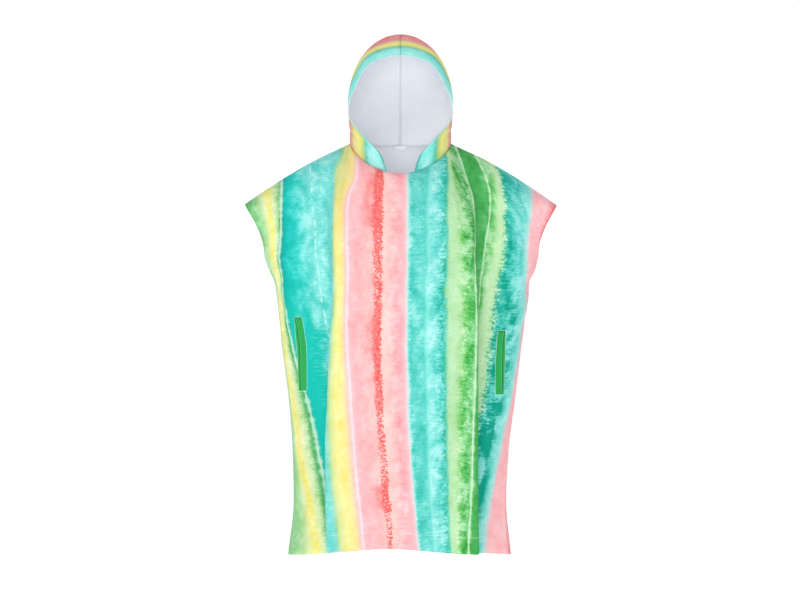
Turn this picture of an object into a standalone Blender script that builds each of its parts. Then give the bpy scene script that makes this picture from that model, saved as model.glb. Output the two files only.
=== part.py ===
"""Hooded bath poncho, filled out as it is when worn, for Blender 4.5.

Metres, +Z up. The front of the garment faces -Y and its width runs along X. The origin is where the wearer's
shoulders hold it: midway between the two points where the shoulder seams meet the hood.

Every piece is a closed wall of towelling. A panel is a grid of points worked out from the tables below. Its
rows run from the top edge down to the hem, its columns across the cloth from the left side seam to the right.
"""

import math
from collections import namedtuple

import bmesh
import bpy
import numpy as np

# ---------------------------------------------------------------------------------------------- driving sizes

CLOTH = 0.002            # thickness of the towelling
SEAM_GAP = 0.00036       # space between two pieces at a seam
WELT_CLOTH = 0.0016      # thickness of a pocket welt
WELT_CLEARANCE = 0.0004  # space between a welt and the panel under it
MITRE_LIMIT = 0.72       # keeps a wall from thickening without end at a sharp seam
SHARP_ANGLE = 50         # degrees; edges that turn more than this are not shaded smooth

NECK_HALF_WIDTH = 0.1265   # from the middle to a neck point, where shoulder seam and hood meet
NECK_FRONT_DEPTH = 0.100   # from the neck points forward to the middle of the front neckline
NECK_BACK_DEPTH = 0.085    # and back to the middle of the back neckline
NECK_FRONT_DROP = 0.0817   # how far the front neckline dips below the neck points
NECK_FRONT_CURVE = 1.4     # above 1 the dip is steeper near the middle
NECK_BACK_RISE = 0.003
HOOD_FRONT_ANGLE = 74.4    # degrees round the neckline from a neck point to the hood's front edge

Shoulder = namedtuple("Shoulder", "tip_x tip_z rise")
SHOULDERS = {              # each seam runs from the tip to the neck point, bowed up by its rise
    "left": Shoulder(tip_x=-0.3872, tip_z=-0.1510, rise=0.009),
    "right": Shoulder(tip_x=0.3880, tip_z=-0.1540, rise=0.010),
}
ARMHOLE_BOTTOM = -0.283    # height where the side seams start
ARMHOLE_HALF_OPEN = 0.045  # how far each armhole edge stands off the middle of the opening
ARMHOLE_REACH = 0.050      # how far in from the edge the cloth follows it
SHOULDER_SPREAD = 1.1      # above 1 the outline below a shoulder reaches the armhole's width sooner
NECK_SLOPE = 0.42          # how steeply the cloth leaves the neck points, 0 for level
NECK_SLOPE_REACH = 0.045   # and how far to each side of them, as a share of the panel's width

# Sections of the body below its flutes: level, outline left and right, depth of front and back, and how far
# round to the back each side seam sits, in degrees.
Section = namedtuple("Section", "z left right front back turn_left turn_right")
SECTIONS = [
    Section(z=-0.283, left=-0.339, right=0.3430, front=-0.116, back=0.104, turn_left=0, turn_right=0),
    Section(z=-0.320, left=-0.325, right=0.3330, front=-0.114, back=0.104, turn_left=4, turn_right=8),
    Section(z=-0.343, left=-0.314, right=0.3200, front=-0.112, back=0.104, turn_left=7, turn_right=14),
    Section(z=-0.390, left=-0.307, right=0.3135, front=-0.109, back=0.103, turn_left=9, turn_right=20),
    Section(z=-0.507, left=-0.295, right=0.2985, front=-0.104, back=0.102, turn_left=8, turn_right=17),
    Section(z=-0.639, left=-0.278, right=0.2845, front=-0.101, back=0.102, turn_left=6, turn_right=10),
    Section(z=-0.755, left=-0.269, right=0.2700, front=-0.100, back=0.102, turn_left=4, turn_right=6),
    Section(z=-0.888, left=-0.266, right=0.2630, front=-0.099, back=0.103, turn_left=2, turn_right=3),
    Section(z=-1.022, left=-0.280, right=0.2750, front=-0.099, back=0.105, turn_left=0, turn_right=0),
]

# Flutes: folds where the cloth doubles back on itself, one on each side of each panel. Going in from the side
# seam the cloth turns back at a valley by so many degrees, runs back along its tuck and turns forward again at
# the ridge, the edge that shows. bend is the length of cloth in each of the two turns.
FLUTE_LEVELS = [-0.283, -0.390, -0.507, -0.639, -0.755, -0.888, -1.022]
Flute = namedtuple("Flute", "ridge_x degrees tuck bend")
FLUTES = {
    ("front", "left"): Flute(
        ridge_x=[-0.165, -0.165, -0.172, -0.177, -0.182, -0.182, -0.178],
        degrees=[62, 88, 115, 138, 148, 152, 150],
        tuck=[0.020, 0.022, 0.028, 0.036, 0.045, 0.050, 0.050],
        bend=[0.034, 0.032, 0.030, 0.029, 0.028, 0.028, 0.028]),
    ("front", "right"): Flute(
        ridge_x=[0.180, 0.187, 0.187, 0.187, 0.187, 0.188, 0.190],
        degrees=[66, 102, 122, 136, 144, 148, 148],
        tuck=[0.020, 0.024, 0.029, 0.034, 0.040, 0.044, 0.046],
        bend=[0.034, 0.031, 0.030, 0.029, 0.028, 0.028, 0.028]),
    ("back", "left"): Flute(
        ridge_x=[-0.150, -0.152, -0.154, -0.156, -0.156, -0.154, -0.150],
        degrees=[40, 52, 66, 82, 96, 108, 116],
        tuck=[0.016, 0.018, 0.020, 0.023, 0.026, 0.029, 0.031],
        bend=[0.050, 0.048, 0.045, 0.042, 0.040, 0.038, 0.038]),
    ("back", "right"): Flute(
        ridge_x=[0.128, 0.132, 0.136, 0.140, 0.143, 0.147, 0.152],
        degrees=[36, 46, 60, 76, 90, 102, 110],
        tuck=[0.016, 0.018, 0.020, 0.023, 0.026, 0.028, 0.030],
        bend=[0.050, 0.048, 0.045, 0.042, 0.040, 0.038, 0.038]),
}

# Rolls: soft rounded folds. share is the place across the panel, 0 at the left side seam and 1 at the right.
# Their height out of the panel is given at the armhole, the waist and the hem; a minus sign makes a trough.
ROLL_LEVELS = [-0.283, -0.639, -1.022]
Roll = namedtuple("Roll", "panel share width height")
ROLLS = [
    Roll(panel="front", share=0.500, width=0.150, height=[0.000, -0.008, -0.028]),
    Roll(panel="front", share=0.375, width=0.060, height=[0.000, 0.003, 0.009]),
    Roll(panel="front", share=0.900, width=0.070, height=[0.010, 0.006, -0.004]),
    Roll(panel="front", share=0.100, width=0.080, height=[0.003, -0.005, 0.006]),
    Roll(panel="back", share=0.500, width=0.110, height=[-0.004, -0.012, -0.026]),
    Roll(panel="back", share=0.120, width=0.080, height=[0.004, 0.007, 0.010]),
    Roll(panel="back", share=0.890, width=0.080, height=[0.004, 0.006, 0.010]),
]
ROLL_SHARPNESS = 2.0
SEAM_CALM = 0.020          # the folds die out this close to a side seam, where both panels share one line

# Height of the hem at places across each panel.
Hem = namedtuple("Hem", "share z")
HEMS = {
    "front": [Hem(0.00, -1.022), Hem(0.10, -1.012), Hem(0.20, -1.004), Hem(0.30, -0.999), Hem(0.36, -0.993),
              Hem(0.47, -0.989), Hem(0.60, -0.996), Hem(0.71, -1.003), Hem(0.80, -1.005), Hem(0.90, -1.011),
              Hem(1.00, -1.022)],
    "back": [Hem(0.00, -1.022), Hem(0.25, -1.012), Hem(0.50, -1.002), Hem(0.75, -1.012), Hem(1.00, -1.022)],
}

# Rings of the hood, from the neck seam up to the seam over the crown. Each runs from the edge of the face
# opening round the side to the back. edge_angle is how far in front of the side the edge lies, in degrees.
Ring = namedtuple("Ring", "side_z half_width edge_angle edge_y edge_z back_y back_z")
HOOD_RINGS = [
    Ring(0.0000, 0.1265, 74.4, -0.0963, -0.0775, 0.085, 0.003),    # neck seam
    Ring(0.0180, 0.1262, 68.0, -0.0940, -0.0390, 0.093, 0.028),
    Ring(0.0350, 0.1270, 52.0, -0.0840, -0.0040, 0.103, 0.054),
    Ring(0.0560, 0.1290, 33.0, -0.0680, 0.0290, 0.113, 0.082),
    Ring(0.0800, 0.1310, 15.0, -0.0520, 0.0570, 0.122, 0.112),
    Ring(0.1070, 0.1312, 9.0, -0.0470, 0.0840, 0.129, 0.143),      # ears
    Ring(0.1400, 0.1270, 10.0, -0.0520, 0.1060, 0.134, 0.175),
    Ring(0.1780, 0.1165, 11.0, -0.0610, 0.1260, 0.135, 0.205),     # temples
    Ring(0.2110, 0.0995, 11.5, -0.0710, 0.1600, 0.130, 0.229),
    Ring(0.2380, 0.0780, 12.0, -0.0780, 0.1865, 0.120, 0.246),
    Ring(0.2560, 0.0540, 12.5, -0.0820, 0.1990, 0.108, 0.256),
    Ring(0.2680, 0.0280, 13.0, -0.0845, 0.2045, 0.093, 0.262),
    Ring(0.2727, 0.0000, 15.0, -0.0850, 0.2081, 0.072, 0.264),     # crown seam
]

# Pocket welts lie on the front panel. The X of their two long edges is given at the top, middle and bottom.
Welt = namedtuple("Welt", "top bottom outer_x inner_x")
WELTS = {
    "left": Welt(top=-0.435, bottom=-0.617,
                 outer_x=[-0.2625, -0.2533, -0.2507], inner_x=[-0.2420, -0.2302, -0.2315]),
    "right": Welt(top=-0.469, bottom=-0.627,
                  outer_x=[0.2573, 0.2560, 0.2536], inner_x=[0.2388, 0.2335, 0.2330]),
}

TAB_HALF_WIDTH = 0.016     # the half-moon tab inside the back neck
TAB_DROP = 0.010
TAB_END = 0.0015           # height of the tab at its two corners
TAB_CLOTH = 0.0012
TAB_BACK_Y = 0.0812        # its back face at the middle, just inside the back panel
TAB_TOP_Z = 0.0010
TAB_COLUMNS = 8
TAB_ROWS = 2

# Rows of the panels: how far the cloth has turned over the shoulder, in degrees, and the levels below the
# armholes.
SHOULDER_TURNS = [0, 13, 27, 41, 55, 68, 80]
BODY_LEVELS = [-0.283, -0.310, -0.350, -0.393, -0.435, -0.469, -0.506, -0.543, -0.580, -0.617,
               -0.627, -0.662, -0.707, -0.752, -0.797, -0.842, -0.887, -0.932, -0.977, -1.022]

# Columns across each panel up to each named line, from the left side seam. A flute's lines are where its
# valley and its ridge start and end, going in from the seam, and a ridge's middle runs up to a neck point.
Stretch = namedtuple("Stretch", "to columns")
COLUMNS = {
    "front": [
        Stretch("welt_left_outer", 3), Stretch("welt_left_inner", 1), Stretch("left_valley_start", 2),
        Stretch("left_valley_end", 4), Stretch("left_ridge_start", 3), Stretch("left_ridge_middle", 2),
        Stretch("left_ridge_end", 2), Stretch("gap_left", 5), Stretch("gap_right", 3),
        Stretch("right_ridge_end", 5), Stretch("right_ridge_middle", 2), Stretch("right_ridge_start", 2),
        Stretch("right_valley_end", 3), Stretch("right_valley_start", 4), Stretch("welt_right_inner", 2),
        Stretch("welt_right_outer", 1), Stretch("seam_right", 4),
    ],
    "back": [
        Stretch("left_valley_start", 6), Stretch("left_valley_end", 4), Stretch("left_ridge_start", 3),
        Stretch("left_ridge_middle", 2), Stretch("left_ridge_end", 2), Stretch("middle", 5),
        Stretch("right_ridge_end", 5), Stretch("right_ridge_middle", 2), Stretch("right_ridge_start", 2),
        Stretch("right_valley_end", 3), Stretch("right_valley_start", 4), Stretch("seam_right", 7),
    ],
}
SECTION_STEPS = 1440       # steps used to measure the length round a section
FLUTE_STEPS = 240          # and along a flute
RIDGE_MARGIN = 1.0         # degrees; a flute that turns by less than 90 shows only its steepest place

Finish = namedtuple("Finish", "color roughness")
FINISHES = {
    "printed_towelling": Finish(color=(0.45, 0.86, 0.80, 1.0), roughness=0.92),
    "green_towelling": Finish(color=(0.03, 0.40, 0.09, 1.0), roughness=0.90),
    "white_towelling": Finish(color=(0.86, 0.87, 0.90, 1.0), roughness=0.92),
}


# ----------------------------------------------------------------------------------------------- small tools

def smooth(x, xs, ys):
    """Smooth curve through a table's points that never overshoots them (cubic, with limited slopes)."""
    xs, ys = np.asarray(xs, float), np.asarray(ys, float)
    if xs[0] > xs[-1]:
        xs, ys = xs[::-1], ys[::-1]
    steps = np.diff(xs)
    rises = np.diff(ys) / steps
    slopes = np.concatenate([rises[:1], np.zeros(len(rises) - 1), rises[-1:]])
    for i in range(1, len(rises)):
        if rises[i - 1] * rises[i] > 0:
            before, after = 2 * steps[i] + steps[i - 1], steps[i] + 2 * steps[i - 1]
            slopes[i] = (before + after) / (before / rises[i - 1] + after / rises[i])
    x = np.clip(np.asarray(x, float), xs[0], xs[-1])
    at = np.clip(np.searchsorted(xs, x, side="right") - 1, 0, len(steps) - 1)
    step = steps[at]
    t = (x - xs[at]) / step
    start = (2 * t**3 - 3 * t**2 + 1) * ys[at] + (t**3 - 2 * t**2 + t) * step * slopes[at]
    end = (3 * t**2 - 2 * t**3) * ys[at + 1] + (t**3 - t**2) * step * slopes[at + 1]
    return start + end


def unit(vectors):
    """The same vectors at length 1."""
    return vectors / np.linalg.norm(vectors, axis=-1, keepdims=True)


def grid_normals(points, outward):
    """Normals of a grid of points. outward is +1 or -1 and turns them to the outside."""
    return outward * unit(np.cross(np.gradient(points, axis=1), np.gradient(points, axis=0)))


def mirrored(vectors):
    """The same points or normals on the other side of the middle plane."""
    return vectors * np.array([-1.0, 1.0, 1.0])


# ---------------------------------------------------------------------------------------- the body's surface

def section_at(level):
    """The body's section at a level, read from the table."""
    zs = [row.z for row in SECTIONS]
    values = [smooth(level, zs, [getattr(row, name) for row in SECTIONS]) for name in Section._fields[1:]]
    return Section(level, *[float(value) for value in values])


def base_curve(panel, level):
    """A panel's section without its folds: points, outward normals and length from the left side seam.

    It is made of quarter ellipses, and a seam that has turned to the back takes some of the next quarter with
    it.
    """
    row = section_at(level)
    middle, half = (row.left + row.right) / 2, (row.right - row.left) / 2
    left, right = math.radians(90 + row.turn_left), math.radians(90 + row.turn_right)
    start = -left if panel == "front" else 2 * math.pi - left
    angle = np.linspace(start, right, SECTION_STEPS)
    depth = np.where(np.cos(angle) > 0, -row.front, row.back)
    points = np.stack([middle + half * np.sin(angle), -depth * np.cos(angle)], axis=1)
    normals = unit(np.stack([np.sin(angle) / half, -np.cos(angle) / depth], axis=1))
    steps = np.linalg.norm(np.diff(points, axis=0), axis=1)
    return points, normals, np.concatenate([[0.0], np.cumsum(steps)])


def flute_path(flute, level):
    """The way of the cloth through a flute, from its side seam's side inward.

    Returns the length of cloth, the way gained along the base curve and the height out of it, step by step,
    the number of the step on the ridge, and the length of cloth up to each named line.
    """
    degrees, tuck, bend = (float(smooth(level, FLUTE_LEVELS, column)) for column in flute[1:])
    cloth = np.linspace(0, tuck + 2 * bend, FLUTE_STEPS)
    back = np.clip(cloth / bend, 0, 1)
    forth = np.clip((cloth - bend - tuck) / bend, 0, 1)
    ease = (3 * back**2 - 2 * back**3) - (3 * forth**2 - 2 * forth**3)
    turn = math.radians(degrees) * ease
    step = np.diff(cloth)
    gained = np.concatenate([[0.0], np.cumsum(np.cos((turn[1:] + turn[:-1]) / 2) * step)])
    height = np.concatenate([[0.0], np.cumsum(np.sin((turn[1:] + turn[:-1]) / 2) * step)])
    edge = math.radians(min(90.0, degrees - RIDGE_MARGIN))
    ridge = int(np.argmax((cloth > bend + tuck) & (turn <= edge)))
    lines = {"valley_start": 0.0, "valley_end": bend, "ridge_start": bend + tuck,
             "ridge_middle": 1.5 * bend + tuck, "ridge_end": 2 * bend + tuck}
    return cloth, gained, height, ridge, lines


def section_path(panel, level):
    """A panel's whole section with its flutes.

    Returns the length of cloth, the way along the base curve and the height out of it, step by step, then the
    base curve itself and the length of cloth up to each named line.
    """
    points, normals, length = base_curve(panel, level)
    own = points[:, 1] < 0 if panel == "front" else points[:, 1] > 0
    cloth_l, gain_l, height_l, ridge_l, lines_l = flute_path(FLUTES[panel, "left"], level)
    cloth_r, gain_r, height_r, ridge_r, lines_r = flute_path(FLUTES[panel, "right"], level)
    at_ridge = {}
    for side, rise in (("left", height_l[ridge_l]), ("right", height_r[ridge_r])):
        x = float(smooth(level, FLUTE_LEVELS, FLUTES[panel, side].ridge_x))
        at_ridge[side] = np.interp(x, points[own, 0] + rise * normals[own, 0], length[own])
    start_l = at_ridge["left"] - gain_l[ridge_l]
    end_r = at_ridge["right"] + gain_r[ridge_r]
    start_m, end_m = start_l + gain_l[-1], end_r - gain_r[-1]
    t = np.linspace(0, 1, FLUTE_STEPS)[1:-1]
    between = end_m - start_m
    along = np.concatenate([[0.0], start_l + gain_l, start_m + between * t, end_r - gain_r[::-1],
                            length[-1:]])
    across_top = height_l[-1] + (height_r[-1] - height_l[-1]) * (3 * t**2 - 2 * t**3)
    height = np.concatenate([[0.0], height_l, across_top, height_r[::-1], [0.0]])
    first_r = start_l + cloth_l[-1] + between
    whole = first_r + cloth_r[-1] + length[-1] - end_r
    cloth = np.concatenate([[0.0], start_l + cloth_l, start_l + cloth_l[-1] + between * t,
                            first_r + cloth_r[-1] - cloth_r[::-1], [whole]])
    lines = {f"left_{name}": start_l + at for name, at in lines_l.items()}
    lines.update({f"right_{name}": first_r + cloth_r[-1] - at for name, at in lines_r.items()})
    lines["seam_right"] = cloth[-1]
    return cloth, along, height, (points, normals, length), lines


def section_points(panel, level, shares):
    """Points of a panel at one level, for shares of its cloth from the left seam, 0, to the right seam, 1."""
    cloth, along, height, (points, normals, length), _ = section_path(panel, level)
    shares = np.asarray(shares, float)
    place = np.interp(shares * cloth[-1], cloth, along)
    out = unit(np.stack([np.interp(place, length, normals[:, i]) for i in range(2)], axis=1))
    lift = np.interp(shares * cloth[-1], cloth, height)
    calm = 1 - np.exp(-(np.minimum(shares, 1 - shares) * cloth[-1] / SEAM_CALM) ** 2)
    for roll in (row for row in ROLLS if row.panel == panel):
        turn = (shares - roll.share) * cloth[-1] / roll.width
        lift = lift + smooth(level, ROLL_LEVELS, roll.height) * np.exp(-ROLL_SHARPNESS * turn**2) * calm
    return np.stack([np.interp(place, length, points[:, i]) for i in range(2)], axis=1) + lift[:, None] * out


def neck_point(angle):
    """Points of the neckline, by the angle round it from the right neck point: -90 in front, 90 behind."""
    turn = np.radians(np.asarray(angle, float))
    reach = np.abs(np.sin(turn))
    ahead = np.sin(turn) < 0
    y = np.where(ahead, -NECK_FRONT_DEPTH * reach, NECK_BACK_DEPTH * reach)
    z = np.where(ahead, -NECK_FRONT_DROP * reach**NECK_FRONT_CURVE, NECK_BACK_RISE * reach**2)
    return np.stack([NECK_HALF_WIDTH * np.cos(turn), y, z], axis=-1)


def shoulder_point(side, share):
    """Points of a shoulder seam, share 0 at the tip and 1 at the neck point."""
    seam = SHOULDERS[side]
    neck_x = math.copysign(NECK_HALF_WIDTH, seam.tip_x)
    x = seam.tip_x + (neck_x - seam.tip_x) * share
    z = seam.tip_z * (1 - share) + seam.rise * np.sin(math.pi * share)
    return np.stack([x, np.zeros_like(x), z], axis=-1)


def top_edge(panel, shares, neck):
    """Top edge of a panel: shoulder seam, neckline and shoulder seam. neck holds the neck points' shares."""
    left, right = neck
    turn = 180 * (shares - left) / (right - left)
    neckline = neck_point(turn - 180 if panel == "front" else 180 - turn)
    left_seam = shoulder_point("left", shares / left)
    right_seam = shoulder_point("right", (1 - shares) / (1 - right))
    points = np.where((shares <= left)[:, None], left_seam, neckline)
    return np.where((shares >= right)[:, None], right_seam, points)


def panel_points(panel, columns, top, neck):
    """All points of a panel. columns holds the shares across it for each row, and top its top edge."""
    facing = -1 if panel == "front" else 1
    shares = columns[0]
    armhole = section_points(panel, ARMHOLE_BOTTOM, shares)
    from_edge = np.minimum(shares, 1 - shares) * section_path(panel, ARMHOLE_BOTTOM)[0][-1]
    opened = facing * ARMHOLE_HALF_OPEN * np.exp(-(from_edge / ARMHOLE_REACH) ** 2)
    slope = sum(NECK_SLOPE * np.exp(-((shares - at) / NECK_SLOPE_REACH) ** 2) for at in neck)
    rows = []
    for turn in np.radians(SHOULDER_TURNS):
        down = (1 - slope) * (1 - math.cos(turn)) + slope * math.sin(turn)
        out = np.sin(math.radians(90) * np.minimum(1.0, SHOULDER_SPREAD * down))
        x = top[:, 0] + (armhole[:, 0] - top[:, 0]) * out
        y = top[:, 1] + (armhole[:, 1] - top[:, 1]) * math.sin(turn) + opened * math.sin(2 * turn)
        z = top[:, 2] + (ARMHOLE_BOTTOM - top[:, 2]) * down
        rows.append(np.stack([x, y, z], axis=1))
    for level, shares in zip(BODY_LEVELS, columns[len(SHOULDER_TURNS):]):
        fall = (level - ARMHOLE_BOTTOM) / (BODY_LEVELS[-1] - ARMHOLE_BOTTOM)
        hem = smooth(shares, [row.share for row in HEMS[panel]], [row.z for row in HEMS[panel]])
        z = ARMHOLE_BOTTOM + (hem - ARMHOLE_BOTTOM) * fall
        rows.append(np.column_stack([section_points(panel, level, shares), z]))
    return np.array(rows)


# ---------------------------------------------------------------------------------- columns across the cloth

def welt_share(side, edge, level):
    """Share across the front of a welt's edge at a level. Past the welt's ends it keeps the end's place."""
    welt = WELTS[side]
    level = min(max(level, welt.bottom), welt.top)
    middle = (welt.top + welt.bottom) / 2
    x = float(smooth(level, [welt.top, middle, welt.bottom], getattr(welt, edge)))
    shares = np.linspace(0, 1, SECTION_STEPS)
    xs = section_points("front", level, shares)[:, 0]
    if side == "right":
        shares, xs = shares[::-1], -xs[::-1]
    past = int(np.argmax(xs > -abs(x)))
    return float(np.interp(-abs(x), xs[past - 1:past + 1], shares[past - 1:past + 1]))


def named_shares(panel, level):
    """Shares across a panel of all its named lines at a level."""
    lines = section_path(panel, level)[4]
    shares = {name: at / lines["seam_right"] for name, at in lines.items()}
    if panel == "front":
        left, right = shares["left_ridge_middle"], shares["right_ridge_middle"]
        gap = HOOD_FRONT_ANGLE / 180 * (right - left)
        shares.update(gap_left=left + gap, gap_right=right - gap)
        shares.update({f"welt_{side}_{edge}": welt_share(side, f"{edge}_x", level)
                       for side in WELTS for edge in ("outer", "inner")})
    else:
        shares["middle"] = (shares["left_ridge_middle"] + shares["right_ridge_middle"]) / 2
    return shares


def columns_of(panel):
    """Shares across a panel for every row, and the number of the column on each named line."""
    grid = []
    for level in [ARMHOLE_BOTTOM] * len(SHOULDER_TURNS) + BODY_LEVELS:
        lines = named_shares(panel, level)
        row, index = [0.0], {}
        for stretch in COLUMNS[panel]:
            t = np.arange(1, stretch.columns + 1) / stretch.columns
            row.extend(row[-1] + (lines[stretch.to] - row[-1]) * t)
            index[stretch.to] = len(row) - 1
        grid.append(row)
    return np.array(grid), index


def angle_from_neck(shares, neck):
    """Angle round the neckline from the right neck point, for shares across a panel."""
    return 180 * (neck[1] - shares) / (neck[1] - neck[0])


# --------------------------------------------------------------------------------------------------- the hood

def hood_points(neck_angles):
    """Right half of the hood. Its first row is the neckline at the angles given, its last the crown seam."""
    rows = []
    for ring in HOOD_RINGS:
        share = (90 - neck_angles) / (90 - neck_angles[0])
        turn = np.radians(90 - share * (90 + ring.edge_angle))
        ahead = turn < 0
        reach = np.where(ahead, np.sin(-turn) / math.sin(math.radians(ring.edge_angle)), np.sin(turn))
        y = np.where(ahead, ring.edge_y, ring.back_y) * reach
        front_z = ring.side_z + (ring.edge_z - ring.side_z) * reach**NECK_FRONT_CURVE
        back_z = ring.side_z + (ring.back_z - ring.side_z) * reach**2
        rows.append(np.stack([ring.half_width * np.cos(turn), y, np.where(ahead, front_z, back_z)], axis=1))
    points = np.array(rows)
    points[0] = neck_point(neck_angles)
    points[:, -1, 0] = 0.0
    return points


# ----------------------------------------------------------------------------------------------- closed walls

def finish_material(name):
    """A plain Principled material."""
    material = bpy.data.materials.new(name)
    material.use_nodes = True
    shader = material.node_tree.nodes["Principled BSDF"]
    shader.inputs["Base Color"].default_value = FINISHES[name].color
    shader.inputs["Roughness"].default_value = FINISHES[name].roughness
    shader.inputs["Metallic"].default_value = 0.0
    return material


def cut_quads(points, a, b, c, d):
    """Two triangles for each quad, cut along the shorter diagonal, so two pieces cut alike at a seam."""
    first = np.linalg.norm(points[a] - points[c], axis=1) < np.linalg.norm(points[b] - points[d], axis=1)
    halves = np.stack([a, b, np.where(first, c, d)], axis=1), np.stack([np.where(first, a, b), c, d], axis=1)
    return np.concatenate(halves)


def wall(name, outer, inner, material):
    """A closed body from two matching grids of points, one for each face of the cloth."""
    rows, columns = outer.shape[:2]
    count = rows * columns
    points = np.concatenate([outer.reshape(-1, 3), inner.reshape(-1, 3)])
    index = np.arange(count).reshape(rows, columns)
    corners = index[:-1, :-1], index[:-1, 1:], index[1:, 1:], index[1:, :-1]
    face = cut_quads(points, *[corner.ravel() for corner in corners])
    rim = np.concatenate([index[0, :-1], index[:-1, -1], index[-1, :0:-1], index[:0:-1, 0]])
    ahead = np.roll(rim, -1)
    side = cut_quads(points, ahead, rim, rim + count, ahead + count)
    faces = np.concatenate([face, face[:, ::-1] + count, side])
    mesh = bpy.data.meshes.new(name)
    mesh.from_pydata(points.tolist(), [], faces.tolist())
    work = bmesh.new()
    work.from_mesh(mesh)
    bmesh.ops.recalc_face_normals(work, faces=work.faces)
    work.to_mesh(mesh)
    work.free()
    mesh.materials.append(material)
    mesh.shade_smooth()
    mesh.set_sharp_from_angle(angle=math.radians(SHARP_ANGLE))
    piece = bpy.data.objects.new(name, mesh)
    bpy.context.collection.objects.link(piece)
    return piece


def joined_normals(panels, normals):
    """Normals with every point that several panels have in common given the mean of theirs."""
    total = {}
    keys = [[tuple(key) for key in np.round(panel.reshape(-1, 3), 6).tolist()] for panel in panels]
    for names, own in zip(keys, normals):
        for key, normal in zip(names, own.reshape(-1, 3)):
            total[key] = total.get(key, 0.0) + normal
    means = [unit(np.array([total[key] for key in names])) for names in keys]
    return [mean.reshape(own.shape) for mean, own in zip(means, normals)]


def pull_from_seams(points, seams):
    """The panel's points with its seam edges drawn in, square to the seam, by half of the seam gap.

    seams pairs each edge with its neighbour inside the panel.
    """
    pulled = points.copy()
    for edge, neighbour in seams:
        along = unit(np.gradient(points[edge], axis=0))
        inward = points[neighbour] - points[edge]
        pulled[edge] += unit(inward - along * np.sum(along * inward, axis=1, keepdims=True)) * SEAM_GAP / 2
    return pulled


def neck_tab(material):
    """The half-moon tab: a half ellipse that hangs inside the back neck and follows its curve."""
    across = np.linspace(-1, 1, TAB_COLUMNS + 1)
    down = np.linspace(0, 1, TAB_ROWS + 1)[:, None]
    x = np.tile(TAB_HALF_WIDTH * across, (TAB_ROWS + 1, 1))
    bend = NECK_BACK_DEPTH * (1 - np.sqrt(1 - (x / NECK_HALF_WIDTH) ** 2))
    height = TAB_END + (TAB_DROP - TAB_END) * np.sqrt(1 - across**2)
    back = np.stack([x, TAB_BACK_Y - bend, TAB_TOP_Z - down * height], axis=-1)
    return wall("neck_tab", back, back - np.array([0.0, TAB_CLOTH, 0.0]), material)


def pocket_welt(name, rows, columns, outer, normals, material):
    """A welt made from the panel's own points, moved out."""
    under = outer[rows, columns] + WELT_CLEARANCE * normals[rows, columns]
    return wall(name, under + WELT_CLOTH * normals[rows, columns], under, material)


def build_garment():
    """Front, back, both halves of the hood, the pocket welts and the tab."""
    printed, green, white = (finish_material(name) for name in FINISHES)

    shares, index = columns_of("front")
    neck = [index["left_ridge_middle"], index["right_ridge_middle"]]
    top = top_edge("front", shares[0], shares[0, neck])
    front = panel_points("front", shares, top, shares[0, neck])

    # the back's shoulder seams take the front's own points, and its neckline has as many columns to each side
    back_shares, back_index = columns_of("back")
    back_neck = [back_index["left_ridge_middle"], back_index["right_ridge_middle"]]
    back_top = top_edge("back", back_shares[0], back_shares[0, back_neck])
    back_top[:back_neck[0]], back_top[back_neck[1]:] = top[:neck[0]], top[neck[1]:]
    back = panel_points("back", back_shares, back_top, back_shares[0, back_neck])

    # the hood's lower edge takes the neckline's own points, from its front edge to the middle of the back
    ahead = angle_from_neck(shares[0, index["gap_right"]:neck[1] + 1], shares[0, neck])
    behind = angle_from_neck(back_shares[0, back_index["middle"]:back_neck[1]], back_shares[0, back_neck])
    hood = hood_points(np.concatenate([-ahead, behind[::-1]]))

    panels = [front, back, hood, mirrored(hood)]
    hood_own = grid_normals(hood, 1)
    # both of the hood's seams meet at its last point, where its cells have no width
    hood_own[-1, -1] = unit(hood_own[-1, -2] + hood_own[-2, -1])
    own = [grid_normals(front, -1), grid_normals(back, 1), hood_own, mirrored(hood_own)]
    shared = joined_normals(panels, own)

    below = slice(len(SHOULDER_TURNS), None)
    body_seams = [(np.s_[0], np.s_[1]), (np.s_[below, 0], np.s_[below, 1]),
                  (np.s_[below, -1], np.s_[below, -2])]
    hood_seams = [(np.s_[0], np.s_[1]), (np.s_[:, -1], np.s_[:, -2]), (np.s_[-1, :-1], np.s_[-2, :-1])]
    names = ["front_panel", "back_panel", "hood_right", "hood_left"]
    seams = [body_seams, body_seams, hood_seams, hood_seams]
    outers = []
    for name, points, plain, joined, edges in zip(names, panels, own, shared, seams):
        square = np.maximum(np.sum(plain * joined, axis=-1, keepdims=True), MITRE_LIMIT)
        outers.append(pull_from_seams(points, edges))
        wall(name, outers[-1], outers[-1] - CLOTH / square * joined, printed)

    for side in WELTS:
        ends = sorted(index[f"welt_{side}_{edge}"] for edge in ("outer", "inner"))
        levels = WELTS[side].top, WELTS[side].bottom
        first, last = (len(SHOULDER_TURNS) + BODY_LEVELS.index(level) for level in levels)
        place = np.s_[first:last + 1], np.s_[ends[0]:ends[1] + 1]
        pocket_welt(f"pocket_welt_{side}", *place, outers[0], shared[0], green)
    neck_tab(white)


for old in list(bpy.data.objects):
    bpy.data.objects.remove(old, do_unlink=True)
build_garment()
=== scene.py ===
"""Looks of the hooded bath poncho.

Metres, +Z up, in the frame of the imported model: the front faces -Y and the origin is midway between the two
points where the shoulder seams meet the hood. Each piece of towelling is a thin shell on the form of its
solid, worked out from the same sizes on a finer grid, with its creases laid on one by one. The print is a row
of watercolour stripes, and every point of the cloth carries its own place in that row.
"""

import math
from collections import namedtuple

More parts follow.
